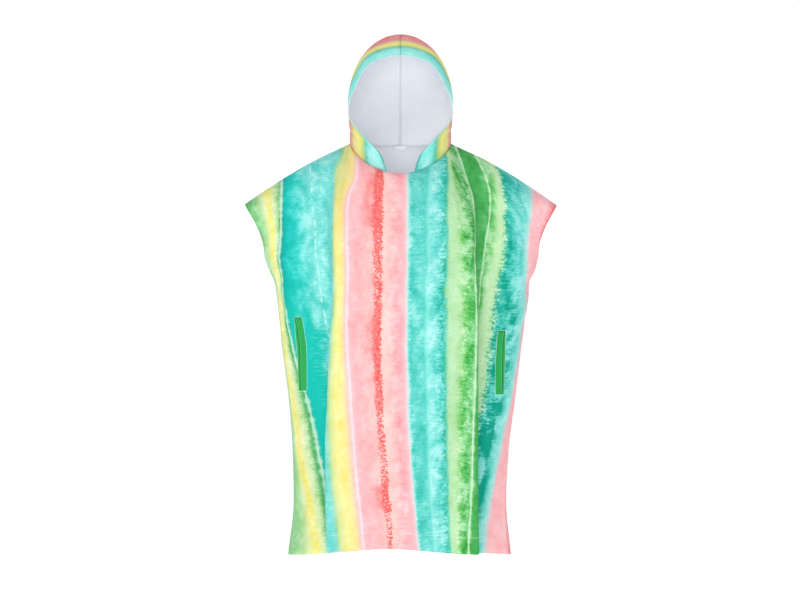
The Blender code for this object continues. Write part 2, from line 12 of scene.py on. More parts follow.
import bpy
import numpy as np
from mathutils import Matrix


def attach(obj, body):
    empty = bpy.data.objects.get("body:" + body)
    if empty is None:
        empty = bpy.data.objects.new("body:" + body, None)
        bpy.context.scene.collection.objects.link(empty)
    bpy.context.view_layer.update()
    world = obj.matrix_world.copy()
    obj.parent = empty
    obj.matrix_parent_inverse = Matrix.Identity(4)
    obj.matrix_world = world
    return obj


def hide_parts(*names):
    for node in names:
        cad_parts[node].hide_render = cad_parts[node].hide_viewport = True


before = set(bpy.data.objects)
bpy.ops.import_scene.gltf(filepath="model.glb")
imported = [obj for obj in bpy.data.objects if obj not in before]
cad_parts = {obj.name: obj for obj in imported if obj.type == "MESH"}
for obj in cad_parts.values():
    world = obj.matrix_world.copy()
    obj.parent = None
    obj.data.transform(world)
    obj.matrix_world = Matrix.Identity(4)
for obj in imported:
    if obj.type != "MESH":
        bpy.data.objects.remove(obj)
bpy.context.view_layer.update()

# ------------------------------------------------------------------- sizes of the cut and the folds

CLOTH = 0.002            # thickness of the towelling
SEAM_GAP = 0.0003        # space between two pieces at a seam
MITRE_LIMIT = 0.72       # keeps a wall from thickening without end at a sharp seam
WELT_CLOTH = 0.0016
WELT_CLEARANCE = 0.0004

NECK_HALF_WIDTH = 0.1265   # from the middle to a neck point, where shoulder seam and hood meet
NECK_FRONT_DEPTH = 0.100   # from the neck points forward to the middle of the front neckline
NECK_BACK_DEPTH = 0.085    # and back to the middle of the back neckline
NECK_FRONT_DROP = 0.0817   # how far the front neckline dips below the neck points
NECK_FRONT_CURVE = 1.4     # above 1 the dip is steeper near the middle
NECK_BACK_RISE = 0.003
HOOD_FRONT_ANGLE = 74.4    # degrees round the neckline from a neck point to the hood's front edge

Shoulder = namedtuple("Shoulder", "tip_x tip_z rise")
SHOULDERS = {              # each seam runs from the tip to the neck point, bowed up by its rise
    "left": Shoulder(tip_x=-0.3872, tip_z=-0.1510, rise=0.009),
    "right": Shoulder(tip_x=0.3880, tip_z=-0.1540, rise=0.010),
}
ARMHOLE_BOTTOM = -0.283    # height where the side seams start
ARMHOLE_HALF_OPEN = 0.045  # how far each armhole edge stands off the middle of the opening
ARMHOLE_REACH = 0.050      # how far in from the edge the cloth follows it
SHOULDER_SPREAD = 1.1      # above 1 the outline below a shoulder reaches the armhole's width sooner
NECK_SLOPE = 0.42          # how steeply the cloth leaves the neck points, 0 for level
NECK_SLOPE_REACH = 0.045   # and how far to each side of them, as a share of the panel's width

# Sections of the body below its flutes: level, outline left and right, depth of front and back, and how far
# round to the back each side seam sits, in degrees.
Section = namedtuple("Section", "z left right front back turn_left turn_right")
SECTIONS = [
    Section(z=-0.283, left=-0.339, right=0.3430, front=-0.116, back=0.104, turn_left=0, turn_right=0),
    Section(z=-0.320, left=-0.325, right=0.3330, front=-0.114, back=0.104, turn_left=4, turn_right=8),
    Section(z=-0.343, left=-0.314, right=0.3200, front=-0.112, back=0.104, turn_left=7, turn_right=14),
    Section(z=-0.390, left=-0.307, right=0.3135, front=-0.109, back=0.103, turn_left=9, turn_right=20),
    Section(z=-0.507, left=-0.295, right=0.2985, front=-0.104, back=0.102, turn_left=8, turn_right=17),
    Section(z=-0.639, left=-0.278, right=0.2845, front=-0.101, back=0.102, turn_left=6, turn_right=10),
    Section(z=-0.755, left=-0.269, right=0.2700, front=-0.100, back=0.102, turn_left=4, turn_right=6),
    Section(z=-0.888, left=-0.266, right=0.2630, front=-0.099, back=0.103, turn_left=2, turn_right=3),
    Section(z=-1.022, left=-0.280, right=0.2750, front=-0.099, back=0.105, turn_left=0, turn_right=0),
]

# Flutes: folds where the cloth doubles back on itself, one on each side of each panel. Going in from the side
# seam the cloth turns back at a valley by so many degrees, runs back along its tuck and turns forward again
# at the ridge, the edge that shows. bend is the length of cloth in each of the two turns.
FLUTE_LEVELS = [-0.283, -0.390, -0.507, -0.639, -0.755, -0.888, -1.022]
Flute = namedtuple("Flute", "ridge_x degrees tuck bend")
FLUTES = {
    ("front", "left"): Flute(
        ridge_x=[-0.165, -0.165, -0.172, -0.177, -0.182, -0.182, -0.178],
        degrees=[62, 88, 115, 138, 148, 152, 150],
        tuck=[0.020, 0.022, 0.028, 0.036, 0.045, 0.050, 0.050],
        bend=[0.034, 0.032, 0.030, 0.029, 0.028, 0.028, 0.028]),
    ("front", "right"): Flute(
        ridge_x=[0.180, 0.187, 0.187, 0.187, 0.187, 0.188, 0.190],
        degrees=[66, 102, 122, 136, 144, 148, 148],
        tuck=[0.020, 0.024, 0.029, 0.034, 0.040, 0.044, 0.046],
        bend=[0.034, 0.031, 0.030, 0.029, 0.028, 0.028, 0.028]),
    ("back", "left"): Flute(
        ridge_x=[-0.150, -0.152, -0.154, -0.156, -0.156, -0.154, -0.150],
        degrees=[40, 52, 66, 82, 96, 108, 116],
        tuck=[0.016, 0.018, 0.020, 0.023, 0.026, 0.029, 0.031],
        bend=[0.050, 0.048, 0.045, 0.042, 0.040, 0.038, 0.038]),
    ("back", "right"): Flute(
        ridge_x=[0.128, 0.132, 0.136, 0.140, 0.143, 0.147, 0.152],
        degrees=[36, 46, 60, 76, 90, 102, 110],
        tuck=[0.016, 0.018, 0.020, 0.023, 0.026, 0.028, 0.030],
        bend=[0.050, 0.048, 0.045, 0.042, 0.040, 0.038, 0.038]),
}

# Rolls: soft rounded folds. share is the place across the panel, 0 at the left side seam and 1 at the right.
# Their height out of the panel is given at the armhole, the waist and the hem; a minus sign makes a trough.
ROLL_LEVELS = [-0.283, -0.639, -1.022]
Roll = namedtuple("Roll", "panel share width height")
ROLLS = [
    Roll(panel="front", share=0.500, width=0.150, height=[0.000, -0.008, -0.028]),
    Roll(panel="front", share=0.375, width=0.060, height=[0.000, 0.003, 0.009]),
    Roll(panel="front", share=0.900, width=0.070, height=[0.010, 0.006, -0.004]),
    Roll(panel="front", share=0.100, width=0.080, height=[0.003, -0.005, 0.006]),
    Roll(panel="back", share=0.500, width=0.110, height=[-0.004, -0.012, -0.026]),
    Roll(panel="back", share=0.120, width=0.080, height=[0.004, 0.007, 0.010]),
    Roll(panel="back", share=0.890, width=0.080, height=[0.004, 0.006, 0.010]),
]
ROLL_SHARPNESS = 2.0
SEAM_CALM = 0.020          # the folds die out this close to a side seam, where both panels share one line

# Height of the hem at places across each panel.
Hem = namedtuple("Hem", "share z")
HEMS = {
    "front": [Hem(0.00, -1.022), Hem(0.10, -1.012), Hem(0.20, -1.004), Hem(0.30, -0.999), Hem(0.36, -0.993),
              Hem(0.47, -0.989), Hem(0.60, -0.996), Hem(0.71, -1.003), Hem(0.80, -1.005), Hem(0.90, -1.011),
              Hem(1.00, -1.022)],
    "back": [Hem(0.00, -1.022), Hem(0.25, -1.012), Hem(0.50, -1.002), Hem(0.75, -1.012), Hem(1.00, -1.022)],
}

# Rings of the hood, from the neck seam up to the seam over the crown. Each runs from the edge of the face
# opening round the side to the back. edge_angle is how far in front of the side the edge lies, in degrees.
Ring = namedtuple("Ring", "side_z half_width edge_angle edge_y edge_z back_y back_z")
HOOD_RINGS = [
    Ring(0.0000, 0.1265, 74.4, -0.0963, -0.0775, 0.085, 0.003),    # neck seam
    Ring(0.0180, 0.1262, 68.0, -0.0940, -0.0390, 0.093, 0.028),
    Ring(0.0350, 0.1270, 52.0, -0.0840, -0.0040, 0.103, 0.054),
    Ring(0.0560, 0.1290, 33.0, -0.0680, 0.0290, 0.113, 0.082),
    Ring(0.0800, 0.1310, 15.0, -0.0520, 0.0570, 0.122, 0.112),
    Ring(0.1070, 0.1312, 9.0, -0.0470, 0.0840, 0.129, 0.143),      # ears
    Ring(0.1400, 0.1270, 10.0, -0.0520, 0.1060, 0.134, 0.175),
    Ring(0.1780, 0.1165, 11.0, -0.0610, 0.1260, 0.135, 0.205),     # temples
    Ring(0.2110, 0.0995, 11.5, -0.0710, 0.1600, 0.130, 0.229),
    Ring(0.2380, 0.0780, 12.0, -0.0780, 0.1865, 0.120, 0.246),
    Ring(0.2560, 0.0540, 12.5, -0.0820, 0.1990, 0.108, 0.256),
    Ring(0.2680, 0.0280, 13.0, -0.0845, 0.2045, 0.093, 0.262),
    Ring(0.2727, 0.0000, 15.0, -0.0850, 0.2081, 0.072, 0.264),     # crown seam
]

# Pocket welts lie on the front panel. The X of their two long edges is given at the top, middle and bottom.
Welt = namedtuple("Welt", "top bottom outer_x inner_x")
WELTS = {
    "left": Welt(top=-0.435, bottom=-0.617,
                 outer_x=[-0.2625, -0.2533, -0.2507], inner_x=[-0.2420, -0.2302, -0.2315]),
    "right": Welt(top=-0.469, bottom=-0.627,
                  outer_x=[0.2573, 0.2560, 0.2536], inner_x=[0.2388, 0.2335, 0.2330]),
}

TAB_HALF_WIDTH = 0.016     # the half-moon tab inside the back neck
TAB_DROP = 0.010
TAB_END = 0.0015           # height of the tab at its two corners
TAB_CLOTH = 0.0012
TAB_EDGE = 0.55            # share of its thickness at the edge
TAB_RISE = 0.45            # which rises by this share
TAB_BEVEL = 0.12           # over this share of its half width
TAB_BACK_Y = 0.0812        # its back face at the middle, just inside the back panel
TAB_TOP_Z = 0.0010

# Rows of the panels: how far the cloth has turned over the shoulder, in degrees, and the levels below.
SHOULDER_TURNS = [0, 13, 27, 41, 55, 68, 80]
BODY_LEVELS = [-0.283, -0.310, -0.350, -0.393, -0.435, -0.469, -0.506, -0.543, -0.580, -0.617,
               -0.627, -0.662, -0.707, -0.752, -0.797, -0.842, -0.887, -0.932, -0.977, -1.022]
ROW_SPLIT = 5              # rows of the shells for each row of the solids
TURN_ROWS = (len(SHOULDER_TURNS) - 1) * ROW_SPLIT    # the rows over the shoulder end here

# Columns across each panel up to each named line, from the left side seam.
Stretch = namedtuple("Stretch", "to columns")
COLUMNS = {
    "front": [
        Stretch("welt_left_outer", 12), Stretch("welt_left_inner", 12), Stretch("left_valley_start", 8),
        Stretch("left_valley_end", 14), Stretch("left_ridge_start", 10), Stretch("left_ridge_middle", 8),
        Stretch("left_ridge_end", 8), Stretch("gap_left", 20), Stretch("gap_right", 14),
        Stretch("right_ridge_end", 20), Stretch("right_ridge_middle", 8), Stretch("right_ridge_start", 8),
        Stretch("right_valley_end", 10), Stretch("right_valley_start", 14), Stretch("welt_right_inner", 8),
        Stretch("welt_right_outer", 12), Stretch("seam_right", 14),
    ],
    "back": [
        Stretch("left_valley_start", 32), Stretch("left_valley_end", 14), Stretch("left_ridge_start", 10),
        Stretch("left_ridge_middle", 8), Stretch("left_ridge_end", 8), Stretch("middle", 20),
        Stretch("right_ridge_end", 20), Stretch("right_ridge_middle", 8), Stretch("right_ridge_start", 8),
        Stretch("right_valley_end", 10), Stretch("right_valley_start", 14), Stretch("seam_right", 34),
    ],
}
RING_SPLIT = 5
SECTION_STEPS = 1440       # steps used to measure the length round a section
FLUTE_STEPS = 240          # and along a flute
RIDGE_MARGIN = 1.0         # degrees; a flute that turns back by less than 90 has its edge at its steepest

# Creases of each cloth: a trough (minus) or a ridge along a slightly bowed line. Places are the
# share across the panel and the level; on the hood the share from front edge to back seam and the ring.
Crease = namedtuple("Crease", "start end bow width depth")
CREASES = {
    "front": [
        Crease((0.305, -0.045), (0.165, -0.235), 0.012, 0.015, -0.0040),
        Crease((0.265, -0.095), (0.105, -0.262), 0.016, 0.012, -0.0032),
        Crease((0.235, -0.070), (0.120, -0.190), 0.008, 0.013, 0.0026),
        Crease((0.030, -0.282), (0.172, -0.402), -0.010, 0.012, -0.0042),
        Crease((0.015, -0.312), (0.120, -0.476), -0.012, 0.010, -0.0034),
        Crease((0.062, -0.300), (0.150, -0.438), -0.008, 0.010, 0.0026),
        Crease((0.095, -0.560), (0.150, -0.985), 0.014, 0.015, -0.0050),
        Crease((0.165, -0.700), (0.205, -1.010), -0.009, 0.014, 0.0042),
        Crease((0.050, -0.780), (0.070, -1.015), 0.006, 0.013, -0.0038),
        Crease((0.425, -0.125), (0.402, -0.555), 0.012, 0.020, -0.0030),
        Crease((0.372, -0.430), (0.388, -0.995), -0.010, 0.016, -0.0046),
        Crease((0.352, -0.240), (0.350, -0.640), 0.006, 0.013, 0.0028),
        Crease((0.470, -0.560), (0.462, -1.000), 0.008, 0.022, 0.0046),
        Crease((0.562, -0.105), (0.588, -0.620), -0.010, 0.021, 0.0032),
        Crease((0.545, -0.690), (0.556, -1.000), 0.007, 0.015, -0.0040),
        Crease((0.640, -0.290), (0.632, -0.985), 0.013, 0.019, -0.0046),
        Crease((0.612, -0.480), (0.600, -1.000), -0.006, 0.014, 0.0030),
        Crease((0.455, -0.090), (0.447, -0.178), 0.003, 0.009, -0.0022),
        Crease((0.500, -0.092), (0.504, -0.160), -0.002, 0.008, -0.0016),
        Crease((0.538, -0.090), (0.548, -0.185), 0.004, 0.010, -0.0024),
        Crease((0.700, -0.045), (0.862, -0.215), -0.014, 0.014, -0.0036),
        Crease((0.748, -0.090), (0.925, -0.246), -0.012, 0.011, -0.0030),
        Crease((0.780, -0.072), (0.905, -0.188), -0.007, 0.012, 0.0028),
        Crease((0.906, -0.150), (0.922, -0.400), -0.007, 0.010, -0.0048),
        Crease((0.930, -0.170), (0.948, -0.330), -0.005, 0.009, 0.0026),
        Crease((0.985, -0.292), (0.856, -0.432), 0.010, 0.012, -0.0040),
        Crease((0.990, -0.330), (0.900, -0.512), 0.009, 0.010, -0.0032),
        Crease((0.930, -0.540), (0.884, -0.960), -0.010, 0.014, -0.0042),
        Crease((0.868, -0.655), (0.850, -1.010), 0.008, 0.013, 0.0036),
        Crease((0.870, -0.935), (0.935, -0.975), 0.004, 0.007, -0.0028),
        Crease((0.925, -0.968), (0.945, -1.018), 0.003, 0.008, -0.0026),
        Crease((0.965, -0.700), (0.960, -1.010), -0.006, 0.012, -0.0032),
    ],
    "back": [
        Crease((0.300, -0.050), (0.150, -0.250), 0.014, 0.015, -0.0040),
        Crease((0.255, -0.100), (0.095, -0.265), 0.012, 0.012, -0.0030),
        Crease((0.690, -0.048), (0.850, -0.240), -0.013, 0.015, -0.0038),
        Crease((0.735, -0.090), (0.905, -0.262), -0.015, 0.012, -0.0030),
        Crease((0.020, -0.290), (0.160, -0.440), -0.010, 0.012, -0.0040),
        Crease((0.015, -0.330), (0.110, -0.520), -0.012, 0.011, -0.0030),
        Crease((0.980, -0.292), (0.845, -0.452), 0.011, 0.012, -0.0042),
        Crease((0.988, -0.340), (0.900, -0.540), 0.010, 0.010, -0.0030),
        Crease((0.430, -0.060), (0.415, -0.520), 0.012, 0.020, -0.0034),
        Crease((0.565, -0.060), (0.590, -0.480), -0.010, 0.022, 0.0030),
        Crease((0.390, -0.380), (0.380, -0.990), 0.009, 0.017, -0.0050),
        Crease((0.468, -0.500), (0.455, -0.995), -0.008, 0.021, 0.0044),
        Crease((0.535, -0.620), (0.548, -0.995), 0.008, 0.016, -0.0042),
        Crease((0.620, -0.330), (0.628, -0.985), -0.012, 0.018, -0.0046),
        Crease((0.345, -0.200), (0.352, -0.560), 0.006, 0.014, 0.0026),
        Crease((0.120, -0.560), (0.165, -1.000), 0.012, 0.015, -0.0046),
        Crease((0.200, -0.640), (0.222, -1.005), -0.008, 0.014, 0.0036),
        Crease((0.055, -0.740), (0.072, -1.010), 0.006, 0.012, -0.0034),
        Crease((0.870, -0.590), (0.842, -1.000), -0.010, 0.014, -0.0044),
        Crease((0.935, -0.660), (0.922, -1.010), 0.007, 0.013, 0.0036),
        Crease((0.790, -0.700), (0.780, -1.000), 0.006, 0.014, 0.0032),
        Crease((0.500, -0.030), (0.497, -0.130), 0.003, 0.012, -0.0018),
    ],
    "hood": [
        Crease((0.030, 1.200), (0.300, 3.300), 0.008, 0.008, -0.0026),
        Crease((0.060, 2.300), (0.330, 4.300), 0.006, 0.007, -0.0020),
        Crease((0.120, 0.900), (0.480, 2.000), 0.006, 0.009, -0.0026),
        Crease((0.250, 5.000), (0.640, 3.200), -0.010, 0.012, -0.0026),
        Crease((0.300, 7.600), (0.720, 5.400), -0.012, 0.014, -0.0024),
        Crease((0.520, 1.000), (0.700, 4.600), 0.010, 0.013, -0.0028),
        Crease((0.720, 0.800), (0.860, 4.000), 0.008, 0.012, 0.0026),
        Crease((0.420, 9.400), (0.860, 7.800), -0.008, 0.014, -0.0020),
    ],
}
CREASE_WIDTH = 1.20        # metres of cloth that stand for a share of 1
RING_HEIGHT = 0.034        # and metres for a ring of the hood
HOOD_WIDTH = 0.27

SEAM_DIP = 0.0011          # how far the cloth is drawn in at a seam, and over what length
SEAM_REACH = 0.0040
HEM_RIM = 0.42             # a hem's edge is rounded out by this share of the cloth's thickness
SEAM_RIM = 0.07            # and a seam's edge by this share, so that no light falls through
FAR = 1.0                  # stands for a seam too far away to matter
CREASE_CALM = 0.018        # creases die out this close to a seam
CREASE_FADE = 0.3          # and each end of one fades out over this share of its length
HEM_WIDTHS = {"armhole": 0.008, "bottom": 0.039, "hood": 0.007}    # from the edge to the line of stitches


# ---------------------------------------------------------------------------------------- the print

# Where the edges between stripes lie across the front, as shares of its cloth, at eight levels. at is the
# edge's own place in the row of stripes, in metres of flat cloth.
STRIPE_LEVELS = [-0.032, -0.086, -0.147, -0.270, -0.390, -0.630, -0.823, -0.992]
Edge = namedtuple("Edge", "at shares")
STRIPE_EDGES = [
    Edge(0.000, [0.000, 0.000, 0.000, 0.000, 0.000, 0.000, 0.000, 0.000]),    # side seam
    Edge(0.054, [0.058, 0.060, 0.066, 0.070, 0.050, 0.040, 0.069, 0.124]),    # yellow streak
    Edge(0.095, [0.112, 0.110, 0.105, 0.091, 0.066, 0.097, 0.132, 0.165]),    # mint line
    Edge(0.215, [0.190, 0.196, 0.200, 0.211, 0.196, 0.212, 0.238, 0.259]),    # pale line in the aqua
    Edge(0.327, [0.297, 0.279, 0.290, 0.302, 0.304, 0.315, 0.338, 0.360]),    # yellow starts
    Edge(0.348, [0.366, 0.362, 0.329, 0.332, 0.325, 0.354, 0.381, 0.403]),    # yellow ends
    Edge(0.363, [0.382, 0.379, 0.346, 0.346, 0.336, 0.369, 0.398, 0.415]),    # white line
    Edge(0.425, [0.432, 0.429, 0.410, 0.405, 0.395, 0.420, 0.448, 0.466]),    # red starts
    Edge(0.463, [0.464, 0.461, 0.451, 0.441, 0.424, 0.448, 0.473, 0.487]),    # red ends
    Edge(0.498, [0.493, 0.491, 0.483, 0.475, 0.455, 0.484, 0.505, 0.515]),    # pale pink ends
    Edge(0.540, [0.521, 0.520, 0.518, 0.514, 0.491, 0.515, 0.538, 0.554]),    # pink ends
    Edge(0.660, [0.640, 0.640, 0.630, 0.628, 0.592, 0.614, 0.629, 0.633]),    # teal ends
    Edge(0.710, [0.662, 0.667, 0.680, 0.676, 0.655, 0.660, 0.666, 0.659]),    # pale green ends
    Edge(0.735, [0.711, 0.717, 0.735, 0.713, 0.671, 0.684, 0.688, 0.676]),    # first mint line
    Edge(0.820, [0.765, 0.791, 0.805, 0.781, 0.770, 0.775, 0.775, 0.770]),    # second mint line
    Edge(0.850, [0.792, 0.818, 0.823, 0.809, 0.783, 0.800, 0.795, 0.785]),    # green ends
    Edge(0.888, [0.815, 0.836, 0.850, 0.846, 0.822, 0.852, 0.842, 0.815]),    # pale green ends
    Edge(0.968, [0.930, 0.932, 0.935, 0.923, 0.930, 0.945, 0.929, 0.898]),    # teal ends
    Edge(1.050, [1.000, 1.000, 1.000, 1.000, 1.000, 1.000, 1.000, 1.000]),    # side seam
]
ROW_LENGTH = 1.050         # all the stripes across a panel
HOOD_AT = 1.200            # the hood's own stripes start here, at its front edge
HOOD_STRIPE = 0.036        # its first stripe is this wide over the crown
HOOD_SPREAD = 0.58         # low at the sides the stripes behind it are wider by one over this
HOOD_TEMPLE = 0.74         # and below the crown all of them by one over this
HOOD_SIDE_X = 0.092        # low at the sides the first stripe ends this far from the middle
HOOD_SIDE_LEAN = 1.1       # an edge further out than that starts later in the row, by so much for a metre
HOOD_SIDE_LEVELS = (0.030, 0.095)     # stripes run upright below these heights and along the edge above
HOOD_OUTLINE = 0.004       # width of the dark outline low on the face opening
HOOD_CROWN_LEVELS = (0.165, 0.205)    # between these heights the stripes widen to their own width
HOOD_STRENGTH = 0.9        # how solid the dyes of the hood are
TEALS_BELOW = 0.3          # places in the row up to which the strengths of the left teal hold
TEALS_ABOVE = 0.7          # and from which those of the right teal hold

# Colours along the row. bleed is how far an edge runs to and fro, in metres, and mottle how cloudy it is.
Dye = namedtuple("Dye", "at colour bleed mottle")
# Some dyes hold painted shade: from 0.0975 to 0.118 the deep teal beside the left mint line is partly the
# valley's shade, and the slightly darker aqua at 0.306 is shade where the left fold turns away.
DYES = [
    Dye(0.000, "84C67F", 0.006, 1.2), Dye(0.012, "86C98B", 0.016, 1.3), Dye(0.022, "9DD69C", 0.014, 0.9),
    Dye(0.034, "B8DBA2", 0.010, 0.8), Dye(0.043, "D9E7AA", 0.008, 0.6), Dye(0.049, "EDE792", 0.006, 0.8),
    Dye(0.056, "F1E784", 0.006, 0.8), Dye(0.061, "E6E9A4", 0.006, 0.5), Dye(0.070, "DAE9B8", 0.008, 0.5),
    Dye(0.080, "B5DCA2", 0.008, 0.7), Dye(0.088, "7FC486", 0.006, 0.9), Dye(0.0935, "4BA668", 0.002, 0.7),
    Dye(0.0975, "2FA58C", 0.002, 0.4), Dye(0.103, "12A89E", 0.003, 0.4),
    Dye(0.118, "1CBFB5", 0.006, 0.5), Dye(0.138, "35CCC4", 0.012, 0.8), Dye(0.165, "5AD6CE", 0.014, 1.0),
    Dye(0.190, "7ADBD5", 0.012, 0.9), Dye(0.225, "8AE1DB", 0.012, 0.8), Dye(0.255, "80DDD7", 0.014, 1.0),
    Dye(0.285, "82DFD9", 0.012, 0.8), Dye(0.306, "7ED9D3", 0.006, 0.6), Dye(0.318, "8CD8C8", 0.003, 0.5),
    Dye(0.323, "ABD6A2", 0.004, 0.4), Dye(0.329, "D4E09A", 0.004, 0.4), Dye(0.336, "EDE798", 0.004, 0.45),
    Dye(0.343, "F5E594", 0.004, 0.4), Dye(0.3485, "F8DDA2", 0.002, 0.3), Dye(0.354, "FACBB2", 0.002, 0.2),
    Dye(0.360, "FBC8C4", 0.001, 0.2), Dye(0.368, "FBBFC2", 0.002, 0.3), Dye(0.385, "FCB8BC", 0.006, 0.4),
    Dye(0.410, "FCB9BB", 0.008, 0.4), Dye(0.430, "FCBDBC", 0.008, 0.4), Dye(0.455, "FCC0BC", 0.006, 0.3),
    Dye(0.4645, "FBC8C0", 0.004, 0.3), Dye(0.478, "FBC6C2", 0.006, 0.4), Dye(0.492, "FCC0C0", 0.006, 0.6),
    Dye(0.508, "FBB4B8", 0.005, 0.7), Dye(0.525, "FBB7BC", 0.004, 0.5), Dye(0.536, "F5C6CA", 0.002, 0.3),
    Dye(0.540, "DADDE0", 0.002, 0.2), Dye(0.5435, "A6E1DB", 0.003, 0.4), Dye(0.5480, "7FD8CF", 0.008, 0.6),
    Dye(0.5520, "5FCDC2", 0.012, 0.7), Dye(0.570, "66CFC5", 0.010, 0.7), Dye(0.588, "68D0C6", 0.010, 0.7),
    Dye(0.5955, "66D1C7", 0.014, 0.6), Dye(0.6000, "8FE2DA", 0.014, 0.7), Dye(0.618, "88DED7", 0.010, 1.0),
    Dye(0.636, "6ED4CB", 0.010, 1.0), Dye(0.646, "5DCDC2", 0.014, 0.9), Dye(0.654, "4EC3B4", 0.020, 0.7),
    Dye(0.6585, "63C8A8", 0.020, 0.6), Dye(0.6625, "ABDDB4", 0.018, 0.4), Dye(0.668, "B4DEB0", 0.008, 0.3),
    Dye(0.682, "B8E0AE", 0.006, 0.3), Dye(0.692, "B0DDA6", 0.008, 0.6), Dye(0.700, "9CD894", 0.014, 1.3),
    Dye(0.712, "82CC86", 0.014, 1.6), Dye(0.727, "78C67E", 0.010, 1.5), Dye(0.7325, "62BB6E", 0.003, 0.9),
    Dye(0.739, "50AF60", 0.002, 0.3), Dye(0.755, "4AAB5A", 0.003, 0.3), Dye(0.785, "50B05F", 0.004, 0.3),
    Dye(0.812, "58B466", 0.003, 0.5), Dye(0.8195, "62BA6E", 0.002, 0.8), Dye(0.8240, "72C479", 0.006, 1.4),
    Dye(0.836, "86CE88", 0.012, 1.6), Dye(0.848, "A6DD9E", 0.014, 1.2), Dye(0.857, "BEE4B2", 0.010, 0.5),
    Dye(0.870, "C5E7B8", 0.008, 0.3), Dye(0.880, "B7E2B4", 0.014, 0.4), Dye(0.8860, "86D3AE", 0.020, 0.6),
    Dye(0.8905, "4DC0B0", 0.018, 0.8), Dye(0.905, "47C0B4", 0.014, 1.0), Dye(0.928, "62CDC4", 0.014, 1.1),
    Dye(0.946, "7CD8D0", 0.012, 1.0), Dye(0.958, "9FE0DA", 0.005, 0.5), Dye(0.965, "D6CFD3", 0.003, 0.3),
    Dye(0.971, "F5BABF", 0.003, 0.3), Dye(0.990, "FBBEC2", 0.004, 0.5), Dye(1.020, "FBC2C6", 0.004, 0.5),
    Dye(1.036, "F6A0A5", 0.003, 0.4), Dye(1.050, "EE6E74", 0.002, 0.4),
]
# Those of the hood, from where its own row starts. Its yellow and pinks are set part way between the body's
# # colours and their darker look at the hood's sides, so they are partly painted shade.
HOOD_DYES_WITH_SHADE = [
    Dye(-0.004, "3FAFA8", 0.000, 0.2), Dye(0.001, "45B8B0", 0.000, 0.2),
    Dye(0.004, "98EAE4", 0.001, 0.4), Dye(0.014, "A2F0EA", 0.003, 0.7),
    Dye(0.026, "92E8E0", 0.003, 0.6), Dye(0.034, "78CFBD", 0.002, 0.3),
    Dye(0.038, "C0DA8A", 0.002, 0.2), Dye(0.044, "EDEA96", 0.002, 0.2),
    Dye(0.056, "EDE39C", 0.002, 0.2), Dye(0.061, "E9BB98", 0.002, 0.2),
    Dye(0.068, "EBA3A3", 0.002, 0.2), Dye(0.090, "EA8F94", 0.006, 0.4),
    Dye(0.130, "F29C9F", 0.008, 0.4), Dye(0.175, "FBB8BA", 0.006, 0.3),
    Dye(0.215, "FDCFCE", 0.004, 0.2), Dye(0.240, "FCB2B6", 0.004, 0.2),
    Dye(0.275, "EDD6DA", 0.003, 0.2), Dye(0.285, "76D8D0", 0.008, 0.6),
    Dye(0.330, "52C8BE", 0.010, 1.0),
]
DYES += [dye._replace(at=HOOD_AT + dye.at) for dye in HOOD_DYES_WITH_SHADE]
# Thin lines drawn over the stripes: how wide they are to each side, and how much of them is missing.
Line = namedtuple("Line", "at colour half gaps")
LINES = [
    Line(0.0955, "CDF2DA", 0.0044, 0.00), Line(0.2150, "C4F4F0", 0.0022, 0.45),
    Line(0.3634, "F8DCE8", 0.0036, 0.00), Line(0.7350, "CDF2C9", 0.0034, 0.00),
    Line(0.8205, "CDF2C9", 0.0034, 0.00),
]
SWAY = 0.0075              # how far all the stripes sway to and fro together
RED_START = 0.4340         # the red stripe: soft on this side
RED_END = 0.4655           # and sharp on this one
WASH_AT = 0.426            # middle of the soft wash beside it
WASH_REACH = 0.016
TEAL_EDGES = [(0.650, 0.012), (0.886, 0.009)]    # where teal meets pale green, and how far its flecks lie off
# Colours drawn over the stripes. A pair is two colours that a noise mixes.
# deep teal of the print, also painted shade of the valley beside the left mint line
DEEP_TEAL_AND_VALLEY_SHADE = "12C0B2"
RIGHT_TEAL = "029E88"
SIDE_GREENS = ("6CBB77", "B5DFAA")
FOLD_GREEN = "3FA75C"
FLECK_GREEN = "2BA585"
WASH_PINK = "F67B79"
REDS = ("EA4847", "F98884")
PILE_GREY = "B9C4C4"
# Colours of the other cloths, the threads and the paper.
LOOP_WHITES = ("E9ECF3", "F1F3F7")
LOOP_SHADE = "D5DAE6"
# painted highlight: the inside of a hem, lit where its edge turns to the light
HEM_HIGHLIGHT_WHITE = "FDFEFF"
WELT_GREENS = ("1E9A48", "31AE5A")
WELT_EDGE_GREEN = "7FE0A6"
# painted shade inside the slit of a welt
SLIT_SHADE_GREEN = "0B5E2C"
# painted highlight along the lip of the slit
LIP_HIGHLIGHT_GREEN = "63CF82"
THREAD_LIGHT = "FFFFFF"
PAPER_WHITES = ("FBFBFB", "FFFFFF")
# How solid the red is down the front. Low down it breaks up into dots, but for one dense stretch.
Strength = namedtuple("Strength", "level share")
RED_STRENGTHS = [
    Strength(-0.060, 0.80), Strength(-0.100, 1.00), Strength(-0.200, 1.00), Strength(-0.260, 0.62),
    Strength(-0.390, 0.62), Strength(-0.430, 1.00), Strength(-0.560, 1.00), Strength(-0.630, 0.72),
    Strength(-0.740, 0.46), Strength(-0.820, 0.46), Strength(-0.840, 0.84), Strength(-0.890, 0.84),
    Strength(-0.910, 0.42), Strength(-0.990, 0.56),
]
